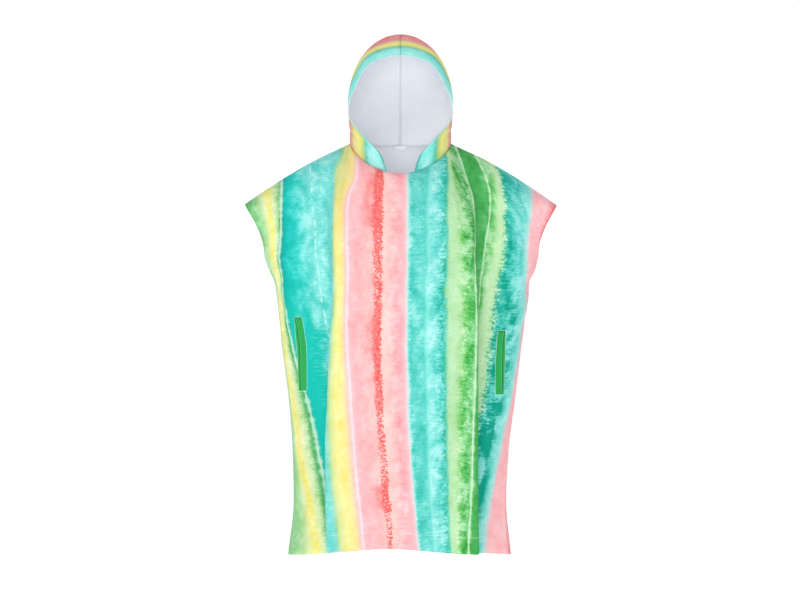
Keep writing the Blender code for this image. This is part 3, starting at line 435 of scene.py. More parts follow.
# How deep the teal is next to the left mint line and at the right side, down the front. Next to the left
# mint line it is partly print and partly painted shade of the valley.
LEFT_TEAL_AND_SHADE_STRENGTHS = [Strength(-0.100, 0.25), Strength(-0.300, 0.20), Strength(-0.390, 0.45), Strength(-0.480, 0.85),
              Strength(-0.700, 1.00), Strength(-1.000, 0.80)]
RIGHT_TEALS = [Strength(-0.100, 0.10), Strength(-0.270, 0.30), Strength(-0.400, 0.45), Strength(-0.520, 0.70),
               Strength(-0.640, 0.90), Strength(-0.900, 1.00)]
LEFT_TEAL_ENDS = 0.235     # places in the row where they end and start
RIGHT_TEAL_STARTS = 0.890


# -------------------------------------------------------------------------------------- small tools

def smooth(x, xs, ys):
    """Smooth curve through a table's points that never overshoots them (cubic, with limited slopes)."""
    xs, ys = np.asarray(xs, float), np.asarray(ys, float)
    if xs[0] > xs[-1]:
        xs, ys = xs[::-1], ys[::-1]
    steps = np.diff(xs)
    rises = np.diff(ys) / steps
    slopes = np.concatenate([rises[:1], np.zeros(len(rises) - 1), rises[-1:]])
    for i in range(1, len(rises)):
        if rises[i - 1] * rises[i] > 0:
            before, after = 2 * steps[i] + steps[i - 1], steps[i] + 2 * steps[i - 1]
            slopes[i] = (before + after) / (before / rises[i - 1] + after / rises[i])
    x = np.clip(np.asarray(x, float), xs[0], xs[-1])
    at = np.clip(np.searchsorted(xs, x, side="right") - 1, 0, len(steps) - 1)
    step = steps[at]
    t = (x - xs[at]) / step
    start = (2 * t**3 - 3 * t**2 + 1) * ys[at] + (t**3 - 2 * t**2 + t) * step * slopes[at]
    end = (3 * t**2 - 2 * t**3) * ys[at + 1] + (t**3 - t**2) * step * slopes[at + 1]
    return start + end


def unit(vectors):
    """The same vectors at length 1."""
    return vectors / np.linalg.norm(vectors, axis=-1, keepdims=True)


def running(steps):
    """The sum of the steps so far, from 0."""
    return np.concatenate([[0.0], np.cumsum(steps)])


def ease(x):
    """0 below 0, 1 above 1 and 3x^2 - 2x^3 between."""
    x = np.clip(x, 0, 1)
    return 3 * x**2 - 2 * x**3


def bell(x, width):
    """A bell curve: 1 at 0, falling off to both sides over width."""
    return np.exp(-(x / width) ** 2)


def section_at(level):
    """The body's section at a level, read from the table."""
    zs = [row.z for row in SECTIONS]
    values = [smooth(level, zs, [getattr(row, name) for row in SECTIONS]) for name in Section._fields[1:]]
    return Section(level, *[float(value) for value in values])


def base_curve(panel, level):
    """A panel's section without its folds: points, outward normals and length from the left side seam.

    It is made of quarter ellipses. A seam that has turned to the back takes some of the next quarter with it.
    """
    row = section_at(level)
    middle, half = (row.left + row.right) / 2, (row.right - row.left) / 2
    left, right = math.radians(90 + row.turn_left), math.radians(90 + row.turn_right)
    start = -left if panel == "front" else 2 * math.pi - left
    angle = np.linspace(start, right, SECTION_STEPS)
    depth = np.where(np.cos(angle) > 0, -row.front, row.back)
    points = np.stack([middle + half * np.sin(angle), -depth * np.cos(angle)], axis=1)
    normals = unit(np.stack([np.sin(angle) / half, -np.cos(angle) / depth], axis=1))
    return points, normals, running(np.linalg.norm(np.diff(points, axis=0), axis=1))


def flute_path(flute, level):
    """The way of the cloth through a flute, from its side seam's side inward.

    Returns the length of cloth, the way gained along the base curve and the height out of it, step by step,
    the number of the step on the ridge, and the length of cloth up to each named line.
    """
    degrees, tuck, bend = (float(smooth(level, FLUTE_LEVELS, column)) for column in flute[1:])
    cloth = np.linspace(0, tuck + 2 * bend, FLUTE_STEPS)
    turn = math.radians(degrees) * (ease(cloth / bend) - ease((cloth - bend - tuck) / bend))
    step, mean = np.diff(cloth), (turn[1:] + turn[:-1]) / 2
    gained, height = running(np.cos(mean) * step), running(np.sin(mean) * step)
    edge = math.radians(min(90.0, degrees - RIDGE_MARGIN))
    ridge = int(np.argmax((cloth > bend + tuck) & (turn <= edge)))
    lines = {"valley_start": 0.0, "valley_end": bend, "ridge_start": bend + tuck,
             "ridge_middle": 1.5 * bend + tuck, "ridge_end": 2 * bend + tuck}
    return cloth, gained, height, ridge, lines


def section_path(panel, level):
    """A panel's section with its flutes.

    Returns the length of cloth, the place along the base curve and the height out of it, step by step, the
    base curve itself and the length of cloth up to each named line.
    """
    points, normals, length = base_curve(panel, level)
    own = points[:, 1] < 0 if panel == "front" else points[:, 1] > 0
    cloth_l, gain_l, height_l, ridge_l, lines_l = flute_path(FLUTES[panel, "left"], level)
    cloth_r, gain_r, height_r, ridge_r, lines_r = flute_path(FLUTES[panel, "right"], level)
    at_ridge = {}
    for side, rise in (("left", height_l[ridge_l]), ("right", height_r[ridge_r])):
        x = float(smooth(level, FLUTE_LEVELS, FLUTES[panel, side].ridge_x))
        at_ridge[side] = np.interp(x, points[own, 0] + rise * normals[own, 0], length[own])
    start_l = at_ridge["left"] - gain_l[ridge_l]
    end_r = at_ridge["right"] + gain_r[ridge_r]
    start_m, end_m = start_l + gain_l[-1], end_r - gain_r[-1]
    t = np.linspace(0, 1, FLUTE_STEPS)[1:-1]
    between = end_m - start_m
    along = np.concatenate(
        [[0.0], start_l + gain_l, start_m + between * t, end_r - gain_r[::-1], length[-1:]])
    crossing = height_l[-1] + (height_r[-1] - height_l[-1]) * ease(t)
    height = np.concatenate([[0.0], height_l, crossing, height_r[::-1], [0.0]])
    first_r = start_l + cloth_l[-1] + between
    last_r = first_r + cloth_r[-1]
    cloth = np.concatenate([[0.0], start_l + cloth_l, start_l + cloth_l[-1] + between * t,
                            last_r - cloth_r[::-1], [last_r + length[-1] - end_r]])
    lines = {f"left_{name}": start_l + at for name, at in lines_l.items()}
    lines.update({f"right_{name}": last_r - at for name, at in lines_r.items()})
    lines["seam_right"] = cloth[-1]
    return cloth, along, height, (points, normals, length), lines


def section_points(panel, level, shares):
    """Points of a panel at one level, for shares of its cloth from the left seam, 0, to the right seam, 1."""
    cloth, along, height, (points, normals, length), _ = section_path(panel, level)
    shares = np.asarray(shares, float)
    place = np.interp(shares * cloth[-1], cloth, along)
    out = unit(np.stack([np.interp(place, length, normals[:, i]) for i in range(2)], axis=1))
    lift = np.interp(shares * cloth[-1], cloth, height)
    calm = 1 - bell(np.minimum(shares, 1 - shares) * cloth[-1], SEAM_CALM)
    for roll in (row for row in ROLLS if row.panel == panel):
        turn = (shares - roll.share) * cloth[-1] / roll.width
        lift = lift + smooth(level, ROLL_LEVELS, roll.height) * np.exp(-ROLL_SHARPNESS * turn**2) * calm
    return np.stack([np.interp(place, length, points[:, i]) for i in range(2)], axis=1) + lift[:, None] * out


def neck_point(angle):
    """Points of the neckline, by the angle round it from the right neck point: -90 is the front."""
    turn = np.radians(np.asarray(angle, float))
    reach = np.abs(np.sin(turn))
    ahead = np.sin(turn) < 0
    y = np.where(ahead, -NECK_FRONT_DEPTH * reach, NECK_BACK_DEPTH * reach)
    z = np.where(ahead, -NECK_FRONT_DROP * reach**NECK_FRONT_CURVE, NECK_BACK_RISE * reach**2)
    return np.stack([NECK_HALF_WIDTH * np.cos(turn), y, z], axis=-1)


def shoulder_point(side, share):
    """Points of a shoulder seam, share 0 at the tip and 1 at the neck point."""
    seam = SHOULDERS[side]
    neck_x = math.copysign(NECK_HALF_WIDTH, seam.tip_x)
    x = seam.tip_x + (neck_x - seam.tip_x) * share
    z = seam.tip_z * (1 - share) + seam.rise * np.sin(math.pi * share)
    return np.stack([x, np.zeros_like(x), z], axis=-1)


def top_edge(panel, shares, neck):
    """The top edge of a panel: shoulder seam, neckline, shoulder seam. neck holds the neck points' shares."""
    left, right = neck
    turn = 180 * (shares - left) / (right - left)
    neckline = neck_point(turn - 180 if panel == "front" else 180 - turn)
    left_seam = shoulder_point("left", shares / left)
    right_seam = shoulder_point("right", (1 - shares) / (1 - right))
    points = np.where((shares <= left)[:, None], left_seam, neckline)
    return np.where((shares >= right)[:, None], right_seam, points)


# --------------------------------------------------------------------------------- the cloth's form

def refined(values, times):
    """The same stops, with each step between two of them split into so many."""
    return np.interp(np.arange((len(values) - 1) * times + 1) / times, np.arange(len(values)), values)


def panel_rows(panel, shares_of):
    """Every row of a panel's points, by the formula of its solid: over the shoulder, then down to the hem.

    Over the shoulder a point turns from the top edge to the armhole's section. Below, it lies on its level's.
    """
    turns, levels = refined(SHOULDER_TURNS, ROW_SPLIT), refined(BODY_LEVELS, ROW_SPLIT)
    shares = shares_of[ARMHOLE_BOTTOM]
    neck = shares_of["neck"]
    facing = -1 if panel == "front" else 1
    top = top_edge(panel, shares, neck)
    armhole = section_points(panel, ARMHOLE_BOTTOM, shares)
    from_edge = np.minimum(shares, 1 - shares) * section_path(panel, ARMHOLE_BOTTOM)[0][-1]
    opened = facing * ARMHOLE_HALF_OPEN * bell(from_edge, ARMHOLE_REACH)
    slope = sum(NECK_SLOPE * bell(shares - at, NECK_SLOPE_REACH) for at in neck)
    turn = np.radians(turns)[:, None]
    down = (1 - slope) * (1 - np.cos(turn)) + slope * np.sin(turn)
    out = np.sin(math.radians(90) * np.minimum(1.0, SHOULDER_SPREAD * down))
    x = top[:, 0] + (armhole[:, 0] - top[:, 0]) * out
    y = top[:, 1] + (armhole[:, 1] - top[:, 1]) * np.sin(turn) + opened * np.sin(2 * turn)
    z = top[:, 2] + (ARMHOLE_BOTTOM - top[:, 2]) * down
    over = np.stack([x, y, z], axis=2)
    body = []
    for level in levels:
        shares = shares_of[round(float(level), 5)]
        fall = (level - ARMHOLE_BOTTOM) / (BODY_LEVELS[-1] - ARMHOLE_BOTTOM)
        hem = smooth(shares, [row.share for row in HEMS[panel]], [row.z for row in HEMS[panel]])
        height = ARMHOLE_BOTTOM + (hem - ARMHOLE_BOTTOM) * fall
        body.append(np.column_stack([section_points(panel, level, shares), height]))
    return np.concatenate([over, np.array(body)])


def welt_share(side, edge, level):
    """Share across the front of a welt's edge at a level. Past the welt's ends its column runs on."""
    welt = WELTS[side]
    level = min(max(level, welt.bottom), welt.top)
    middle = (welt.top + welt.bottom) / 2
    x = float(smooth(level, [welt.top, middle, welt.bottom], getattr(welt, edge)))
    shares = np.linspace(0, 1, SECTION_STEPS)
    xs = section_points("front", level, shares)[:, 0]
    if side == "right":
        shares, xs = shares[::-1], -xs[::-1]
    past = int(np.argmax(xs > -abs(x)))
    return float(np.interp(-abs(x), xs[past - 1:past + 1], shares[past - 1:past + 1]))


def named_shares(panel, level):
    """Shares across a panel of all its named lines at a level."""
    lines = section_path(panel, level)[4]
    shares = {name: at / lines["seam_right"] for name, at in lines.items()}
    if panel == "front":
        left, right = shares["left_ridge_middle"], shares["right_ridge_middle"]
        gap = HOOD_FRONT_ANGLE / 180 * (right - left)
        shares.update(gap_left=left + gap, gap_right=right - gap)
        shares.update({f"welt_{side}_{edge}": welt_share(side, f"{edge}_x", level)
                       for side in WELTS for edge in ("outer", "inner")})
    else:
        shares["middle"] = (shares["left_ridge_middle"] + shares["right_ridge_middle"]) / 2
    return shares


def columns_of(panel):
    """Shares across a panel, at the solid's levels and between them, and the column of each named line."""
    index, total = {}, 0
    for stretch in COLUMNS[panel]:
        total += stretch.columns
        index[stretch.to] = total
    rows = []
    for level in BODY_LEVELS:
        lines = named_shares(panel, level)
        marks = [0.0] + [lines[stretch.to] for stretch in COLUMNS[panel]]
        stops = [0] + list(index.values())
        rows.append(np.interp(np.arange(total + 1), stops, marks))
    rows = np.array(rows)
    levels = refined(BODY_LEVELS, ROW_SPLIT)
    split = np.arange(len(levels)) / ROW_SPLIT
    low = np.minimum(split.astype(int), len(rows) - 2)
    mixed = rows[low] + (rows[low + 1] - rows[low]) * (split - low)[:, None]
    shares_of = {round(float(level), 5): row for level, row in zip(levels, mixed)}
    shares_of[ARMHOLE_BOTTOM] = mixed[0]
    shares_of["neck"] = mixed[0][[index["left_ridge_middle"], index["right_ridge_middle"]]]
    return shares_of, index


def angle_from_neck(shares, neck):
    """Angle round the neckline from the right neck point, for shares across a panel."""
    return 180 * (neck[1] - shares) / (neck[1] - neck[0])


def hood_rows(neck_angles):
    """Right half of the hood, by its solid's formula, with smooth curves through the table of rings."""
    rings = np.arange(len(HOOD_RINGS))
    fine = refined(rings, RING_SPLIT)
    side_z, half_width, edge_angle, edge_y, edge_z, back_y, back_z = (
        smooth(fine, rings, [getattr(ring, name) for ring in HOOD_RINGS])[:, None] for name in Ring._fields)
    share = (90 - neck_angles) / (90 - neck_angles[0])
    turn = np.radians(90 - share * (90 + edge_angle))
    ahead = turn < 0
    reach = np.where(ahead, np.sin(-turn) / np.sin(np.radians(edge_angle)), np.sin(turn))
    front_z = side_z + (edge_z - side_z) * np.abs(reach)**NECK_FRONT_CURVE
    back_height = side_z + (back_z - side_z) * reach**2
    y = np.where(ahead, edge_y, back_y) * reach
    points = np.stack([half_width * np.cos(turn), y, np.where(ahead, front_z, back_height)], axis=2)
    points[0] = neck_point(neck_angles)
    points[:, -1, 0] = 0.0
    return points


def grid_normals(points, outward):
    """Normals of a grid of points. outward is +1 or -1 and turns them to the outside."""
    return outward * unit(np.cross(np.gradient(points, axis=1), np.gradient(points, axis=0)))


def joined_normals(panels, normals):
    """Normals with every point that several panels have in common given the mean of theirs."""
    keys = np.round(np.concatenate([panel.reshape(-1, 3) for panel in panels]), 5) + 0.0
    same = np.unique(keys, axis=0, return_inverse=True)[1].ravel()
    total = np.zeros((same.max() + 1, 3))
    np.add.at(total, same, np.concatenate([normal.reshape(-1, 3) for normal in normals]))
    ends = np.cumsum([panel[..., 0].size for panel in panels])[:-1]
    return [unit(part).reshape(normal.shape) for part, normal in zip(np.split(total[same], ends), normals)]


def mirrored(vectors):
    """The same points or normals on the other side of the middle plane."""
    return vectors * np.array([-1.0, 1.0, 1.0])


# ----------------------------------------------------------------------------- lengths on the cloth

def lengths(points, axis):
    """Length along the rows (axis 0) or the columns (axis 1) of a grid, from its first point."""
    steps = np.linalg.norm(np.diff(points, axis=axis), axis=2)
    start = np.zeros_like(steps[:1] if axis == 0 else steps[:, :1])
    return np.concatenate([start, np.cumsum(steps, axis=axis)], axis=axis)


def crease_height(across, down, creases, widths):
    """Height of a list of creases. Each is a bell curve across a bowed line, and fades at its ends."""
    height = np.zeros_like(across)
    for crease in creases:
        start, end = np.array(crease.start) * widths, np.array(crease.end) * widths
        way = end - start
        length = np.hypot(*way)
        along = ((across - start[0]) * way[0] + (down - start[1]) * way[1]) / length**2
        aside = ((down - start[1]) * way[0] - (across - start[0]) * way[1]) / length
        aside = aside - 4 * crease.bow * along * (1 - along)
        fade = ease(along / CREASE_FADE) * ease((1 - along) / CREASE_FADE)
        height += crease.depth * bell(aside, crease.width) * fade
    return height


def row_of_stripes(shares, level):
    """Place in the row of stripes of each point of the front. Between two edges it grows evenly."""
    marks = [smooth(level, STRIPE_LEVELS, edge.shares) for edge in STRIPE_EDGES]
    place = np.zeros_like(shares)
    for here, there, edge, after in zip(marks, marks[1:], STRIPE_EDGES, STRIPE_EDGES[1:]):
        place += (after.at - edge.at) * np.clip((shares - here) / (there - here), 0, 1)
    return place


def strengths(level, table):
    """A table of strengths read at each level."""
    return np.interp(-level, [-row.level for row in table], [row.share for row in table])


def dye_of(place):
    """The row's place with the bleed and the mottle of the dye there."""
    ats = [dye.at for dye in DYES]
    return np.stack([place, np.interp(place, ats, [dye.bleed for dye in DYES]),
                     np.interp(place, ats, [dye.mottle for dye in DYES])], axis=-1)


# ------------------------------------------------------------------------------------------- shells

Cloth = namedtuple("Cloth", "name outer inner normals flip open_rim dye make flat")
Making = namedtuple("Making", "hem seam strength place lift flat opened flip")
# How far along the flat cloth each piece lies, in metres.
FLAT_AT = {"front": 0.0, "back": 3.0, "hood_right": 6.0, "hood_left": 8.0}


def smooth_mesh(name, points, faces, materials, face_material=None):
    """A mesh with smooth shading. face_material gives the number of each face's material."""
    mesh = bpy.data.meshes.new(name)
    mesh.from_pydata(points.tolist(), [], faces.tolist())
    for material in materials:
        mesh.materials.append(material)
    if face_material is not None:
        mesh.polygons.foreach_set("material_index", face_material.astype(np.int32))
    mesh.shade_smooth()
    mesh.update()
    thing = bpy.data.objects.new(name, mesh)
    bpy.context.collection.objects.link(thing)
    return thing


def mesh_piece(name, points, faces, materials, face_material=None):
    """A mesh that is a piece of the part."""
    piece = smooth_mesh(name, points, faces, materials, face_material)
    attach(piece, "root")
    return piece


def give_flat(piece, flat):
    """The piece's flat map: where each point lies on the uncut cloth, in metres."""
    mesh = piece.data
    corner = np.empty(len(mesh.loops), np.int32)
    mesh.loops.foreach_get("vertex_index", corner)
    layer = mesh.uv_layers.new(name="cloth")
    layer.data.foreach_set("uv", flat[corner].astype(np.float32).ravel())


def give_vector(piece, name, values):
    """Three numbers on each point of the piece."""
    values = np.ascontiguousarray(values, np.float32)
    piece.data.attributes.new(name, "FLOAT_VECTOR", "POINT").data.foreach_set("vector", values.ravel())


def grid_faces(rows, columns):
    """The numbers of a grid's points, and its faces."""
    index = np.arange(rows * columns).reshape(rows, columns)
    faces = np.stack([index[:-1, :-1], index[:-1, 1:], index[1:, 1:], index[1:, :-1]], axis=-1)
    return index, faces.reshape(-1, 4)


def shell(cloth, materials):
    """A thin closed shell: outer and inner face, joined by a rim that is rounded out where the edge is a hem.

    The rim's middle line lies half way between the faces, moved out by open_rim times the thickness.
    """
    rows, columns = cloth.outer.shape[:2]
    count = rows * columns
    outer, inner = cloth.outer.reshape(-1, 3), cloth.inner.reshape(-1, 3)
    index, quads = grid_faces(rows, columns)
    row, column = np.clip(np.arange(rows), 1, rows - 2), np.clip(np.arange(columns), 1, columns - 2)
    inside = row[:, None], column[None, :]
    away = (cloth.outer - cloth.outer[inside]).reshape(-1, 3)
    rim = np.concatenate([index[0, :-1], index[:-1, -1], index[-1, :0:-1], index[:0:-1, 0]])
    thick = np.linalg.norm(outer[rim] - inner[rim], axis=1, keepdims=True)
    push = unit(away[rim] + 1e-9) * cloth.open_rim.ravel()[rim, None] * thick
    points = np.concatenate([outer, inner, (outer[rim] + inner[rim]) / 2 + push])
    mid = 2 * count + np.arange(len(rim))
    ahead, mid_ahead = np.roll(rim, -1), np.roll(mid, -1)
    upper = np.stack([ahead, rim, mid, mid_ahead], axis=1)
    lower = np.stack([mid_ahead, mid, rim + count, ahead + count], axis=1)
    faces = [quads, quads[:, ::-1] + count, upper, lower]
    material = np.repeat((0, 1, 0, 1), [len(part) for part in faces])
    faces = np.concatenate(faces)
    if cloth.flip:
        faces = faces[:, ::-1]
    piece = mesh_piece(cloth.name, points, faces, materials, material)
    spread = [part.reshape(count, -1) for part in (cloth.dye, cloth.make, cloth.flat)]
    dye, make, flat = [np.concatenate([part, part, part[rim]]) for part in spread]
    give_flat(piece, flat)
    give_vector(piece, "dye", dye)
    give_vector(piece, "make", make)
    return piece


def panel_making(panel, grid, share, gap):
    """What a panel's print and sewing need at each point. gap is the columns where the hood is open."""
    from_top, from_left = lengths(grid, 0), lengths(grid, 1)
    rows, columns = np.arange(len(grid))[:, None], np.arange(grid.shape[1])
    down, level = from_top - from_top[TURN_ROWS], grid[..., 2]
    edge = np.minimum(from_left, from_left[:, -1:] - from_left)
    seam = np.minimum(from_top, np.where(rows > TURN_ROWS, edge, FAR))
    seam[TURN_ROWS] = np.minimum(from_top[TURN_ROWS], FAR)
    bottom = from_top[-1:] - from_top - HEM_WIDTHS["bottom"]
    sleeve = np.hypot(edge, np.maximum(0, down)) - HEM_WIDTHS["armhole"]
    lift = crease_height(share * CREASE_WIDTH, level, CREASES[panel], np.array([CREASE_WIDTH, 1.0]))
    place = row_of_stripes(share, level) if panel == "front" else ROW_LENGTH * share
    strength = strengths(level, RED_STRENGTHS)
    strength = np.where(place < TEALS_BELOW, strengths(level, LEFT_TEAL_AND_SHADE_STRENGTHS), strength)
    strength = np.where(place > TEALS_ABOVE, strengths(level, RIGHT_TEALS), strength)
    flat = np.stack([from_left + FLAT_AT[panel] - from_left.mean(), down], axis=-1)
    opened = (rows <= TURN_ROWS) & ((columns == 0) | (columns == columns[-1]))
    opened = opened | (rows == len(grid) - 1)
    if panel == "front":
        opened[0, gap] = True
        seam[:, gap] = np.where(rows < TURN_ROWS, FAR, seam[:, gap])
    return Making(np.minimum(bottom, sleeve), seam, strength, place, lift, flat, opened, panel == "front")


def hood_making(name, grid):
    """The same for half of the hood."""
    from_top, across = lengths(grid, 0), lengths(grid, 1)
    width = across[:, -1:]
    share = across / np.maximum(width, 1e-6)
    ring = np.broadcast_to(np.arange(len(grid))[:, None] / RING_SPLIT, share.shape)
    seam = np.minimum(np.minimum(from_top, width - across), from_top[-1:] - from_top)
    scale = np.array([HOOD_WIDTH, RING_HEIGHT])
    lift = crease_height(share * HOOD_WIDTH, ring * RING_HEIGHT, CREASES["hood"], scale)
    edge_x, edge_z = np.abs(grid[:, :1, 0]), grid[:, :1, 2]
    low, high = HOOD_SIDE_LEVELS
    upright = 1 - ease((edge_z - low) / (high - low))
    first = HOOD_STRIPE / HOOD_TEMPLE
    start = upright * (first + HOOD_SIDE_LEAN * (edge_x - HOOD_SIDE_X))
    behind = np.maximum(across + start - first, 0) * (1 - (1 - HOOD_SPREAD) * upright)
    temple, crown = HOOD_CROWN_LEVELS
    spread = HOOD_TEMPLE + (1 - HOOD_TEMPLE) * ease((edge_z - temple) / (crown - temple))
    away = (np.minimum(across + start, first) + behind) * spread
    away = np.where(across < HOOD_OUTLINE, across, np.maximum(away, HOOD_OUTLINE))
    place = HOOD_AT + np.maximum(away, HOOD_OUTLINE * (1 - upright))
    strength = np.full_like(place, HOOD_STRENGTH)
    flat = np.stack([across + FLAT_AT[name], from_top], axis=-1)
    opened = np.broadcast_to(np.arange(grid.shape[1]) == 0, share.shape)
    return Making(across - HEM_WIDTHS["hood"], seam, strength, place, lift, flat, opened, name == "hood_left")


def build_cloths():
    """The four big cloths as outer and inner grids with all that their print and sewing need."""
    shares, index, neck, points = {}, {}, {}, {}
    for panel in ("front", "back"):
        shares_of, index[panel] = columns_of(panel)
        points[panel] = panel_rows(panel, shares_of)
        levels = refined(BODY_LEVELS, ROW_SPLIT)
        below = np.array([shares_of[round(float(level), 5)] for level in levels])
        shares[panel] = np.concatenate([np.tile(below[0], (TURN_ROWS + 1, 1)), below])
        neck[panel] = shares_of["neck"]
    ends = {panel: [index[panel][f"{side}_ridge_middle"] for side in ("left", "right")] for panel in index}
    points["back"][0, :ends["back"][0]] = points["front"][0, :ends["front"][0]]
    points["back"][0, ends["back"][1]:] = points["front"][0, ends["front"][1]:]
    gap = slice(index["front"]["gap_left"], index["front"]["gap_right"] + 1)
    ahead = shares["front"][0, index["front"]["gap_right"]:ends["front"][1] + 1]
    behind = shares["back"][0, index["back"]["middle"]:ends["back"][1]]
    ahead, behind = angle_from_neck(ahead, neck["front"]), angle_from_neck(behind, neck["back"])
    points["hood"] = hood_rows(np.concatenate([-ahead, behind[::-1]]))

    grids = [points["front"], points["back"], points["hood"], mirrored(points["hood"])]
    hood_own = grid_normals(points["hood"], 1)
    hood_own[-1, -1] = unit(hood_own[-1, -2] + hood_own[-2, -1])
    own = [grid_normals(grids[0], -1), grid_normals(grids[1], 1), hood_own, mirrored(hood_own)]
    makings = [panel_making(panel, points[panel], shares[panel], gap) for panel in ("front", "back")]
    makings += [hood_making("hood_right", grids[2]), hood_making("hood_left", grids[3])]

    cloths = {}
    names = ["front_panel", "back_panel", "hood_right", "hood_left"]
    for name, grid, plain, normals, making in zip(names, grids, own, joined_normals(grids, own), makings):
        calm = 1 - bell(making.seam, CREASE_CALM)
        raised = making.lift * calm - SEAM_DIP * bell(making.seam, SEAM_REACH)
        outer = pull_from_seams(name, grid + raised[..., None] * normals)
        square = np.maximum(np.sum(plain * normals, axis=-1, keepdims=True), MITRE_LIMIT)
        inner = outer - CLOTH / square * normals
        make = np.stack([making.hem, making.seam, making.strength], axis=-1)
        open_rim = np.where(making.opened, HEM_RIM, SEAM_RIM)
        cloths[name] = Cloth(name, outer, inner, normals, making.flip, open_rim, dye_of(making.place), make,
                             making.flat)
    return cloths, index["front"]


def pull_from_seams(name, points):
    """The points with the seam edges drawn in, square to the seam, by half of the seam gap."""
    if name in ("front_panel", "back_panel"):
        below = slice(TURN_ROWS + 1, None)
        seams = [(np.s_[0], np.s_[1]), (np.s_[below, 0], np.s_[below, 1]),
                 (np.s_[below, -1], np.s_[below, -2])]
    else:
        seams = [(np.s_[0], np.s_[1]), (np.s_[:, -1], np.s_[:, -2]), (np.s_[-1, :-1], np.s_[-2, :-1])]
    pulled = points.copy()
    for edge, neighbour in seams:
        along = unit(np.gradient(points[edge], axis=0) + 1e-12)
        inward = points[neighbour] - points[edge]
        pulled[edge] += unit(inward - along * np.sum(along * inward, axis=1, keepdims=True)) * SEAM_GAP / 2
    return pulled


# ------------------------------------------------------------------------------------------- sewing

def on_grid(grid, row, column):
    """A grid's values at places between its points, mixed from the four points around."""
    row0 = np.clip(np.floor(row).astype(int), 0, grid.shape[0] - 2)
    column0 = np.clip(np.floor(column).astype(int), 0, grid.shape[1] - 2)
    r, c = (row - row0)[:, None], (column - column0)[:, None]
    near = grid[row0, column0] * (1 - c) + grid[row0, column0 + 1] * c
    far = grid[row0 + 1, column0] * (1 - c) + grid[row0 + 1, column0 + 1] * c
    return near * (1 - r) + far * r


def column_at(lengths_in, distance):
    """The column, with its fraction, at a distance along each row of a table of growing lengths."""
    low, high = lengths_in[:, :-1], lengths_in[:, 1:]
    return np.sum(np.clip((distance - low) / np.maximum(high - low, 1e-9), 0, 1), axis=1)


Thread = namedtuple("Thread", "pitch length width height")
HEM_THREAD = Thread(pitch=0.0034, length=0.0027, width=0.0006, height=0.00035)
WELT_THREAD = Thread(pitch=0.0026, length=0.0025, width=0.0011, height=0.00045)
WELT_STITCHES = 0.0010     # how far outside a welt its stitches run
LINE_POINTS = 60           # points on each side of a line of stitches
WELT_THINNING = 0.94       # how much of its thickness, squared, a welt loses at its edges
WELT_ROUND_ACROSS = 7      # and how late, by the power of the curve
WELT_ROUND_ALONG = 60
WELT_SWELL = 0.0006        # it stands higher on the inner side of its slit
WELT_SWELL_AT = 0.66       # places and reaches are shares of the welt's width or length
WELT_SWELL_REACH = 0.26
SLIT_AT = 0.30             # the slit: its place, depth and reach
SLIT_DEPTH = 0.0011
SLIT_REACH = 0.075
SLIT_BOW = 0.05            # it sways more the lower it comes
SLIT_WAVE = 5.2
SLIT_PHASE = 0.6
SLIT_TURN = 0.16           # and turns to the outer edge at its top
SLIT_TURN_REACH = 0.10
TAB_LINE = 0.86            # the tab's stitches follow its outline at this share of its size
TAB_LINE_ENDS = (8, 172)   # between these degrees
FINE_THREAD = Thread(pitch=0.0026, length=0.0021, width=0.0008, height=0.00040)


def stitches(name, lines, thread, material):
    """Stitches end to end along lines of points with normals.

    Each stitch is a small closed bow: rings of six points whose size follows a half ellipse along its length.
    """
    along = np.array([-0.5, -0.38, 0.0, 0.38, 0.5])
    swell = np.array([0.30, 0.75, 1.00, 0.75, 0.30])
    around = np.radians(np.arange(6) * 60.0)
    template = np.stack([np.repeat(along * thread.length, 6),
                         np.outer(swell, np.cos(around)).ravel() * thread.width / 2,
                         np.outer(swell, np.sin(around)).ravel() * thread.height / 2], axis=1)
    ring = np.arange(6)
    after = (ring + 1) % 6
    tube = np.concatenate([np.stack([ring, after, after + 6, ring + 6], axis=1) + 6 * r for r in range(4)])
    caps = np.array([[3, 2, 1, 0], [5, 4, 3, 0], [24, 25, 26, 27], [24, 27, 28, 29]])
    faces = np.concatenate([tube[:, ::-1], caps])
    all_points, all_faces, total = [], [], 0
    for points, normals in lines:
        length = running(np.linalg.norm(np.diff(points, axis=0), axis=1))
        at = np.arange(thread.pitch / 2, length[-1] - thread.pitch / 2, thread.pitch)
        half = thread.length / 2
        centre, up, ahead, behind = [
            np.stack([np.interp(at + shift, length, source[:, i]) for i in range(3)], axis=1)
            for source, shift in ((points, 0), (normals, 0), (points, half), (points, -half))]
        way = unit(ahead - behind)
        up = unit(up - way * np.sum(up * way, axis=1, keepdims=True))
        side = np.cross(up, way)
        body = (centre[:, None] + template[None, :, :1] * way[:, None]
                + template[None, :, 1:2] * side[:, None] + template[None, :, 2:] * up[:, None])
        count = len(template)
        all_points.append(body.reshape(-1, 3))
        all_faces.append((faces[None] + (np.arange(len(at)) * count)[:, None, None] + total).reshape(-1, 4))
        total += len(at) * count
    return mesh_piece(name, np.concatenate(all_points), np.concatenate(all_faces), [material])


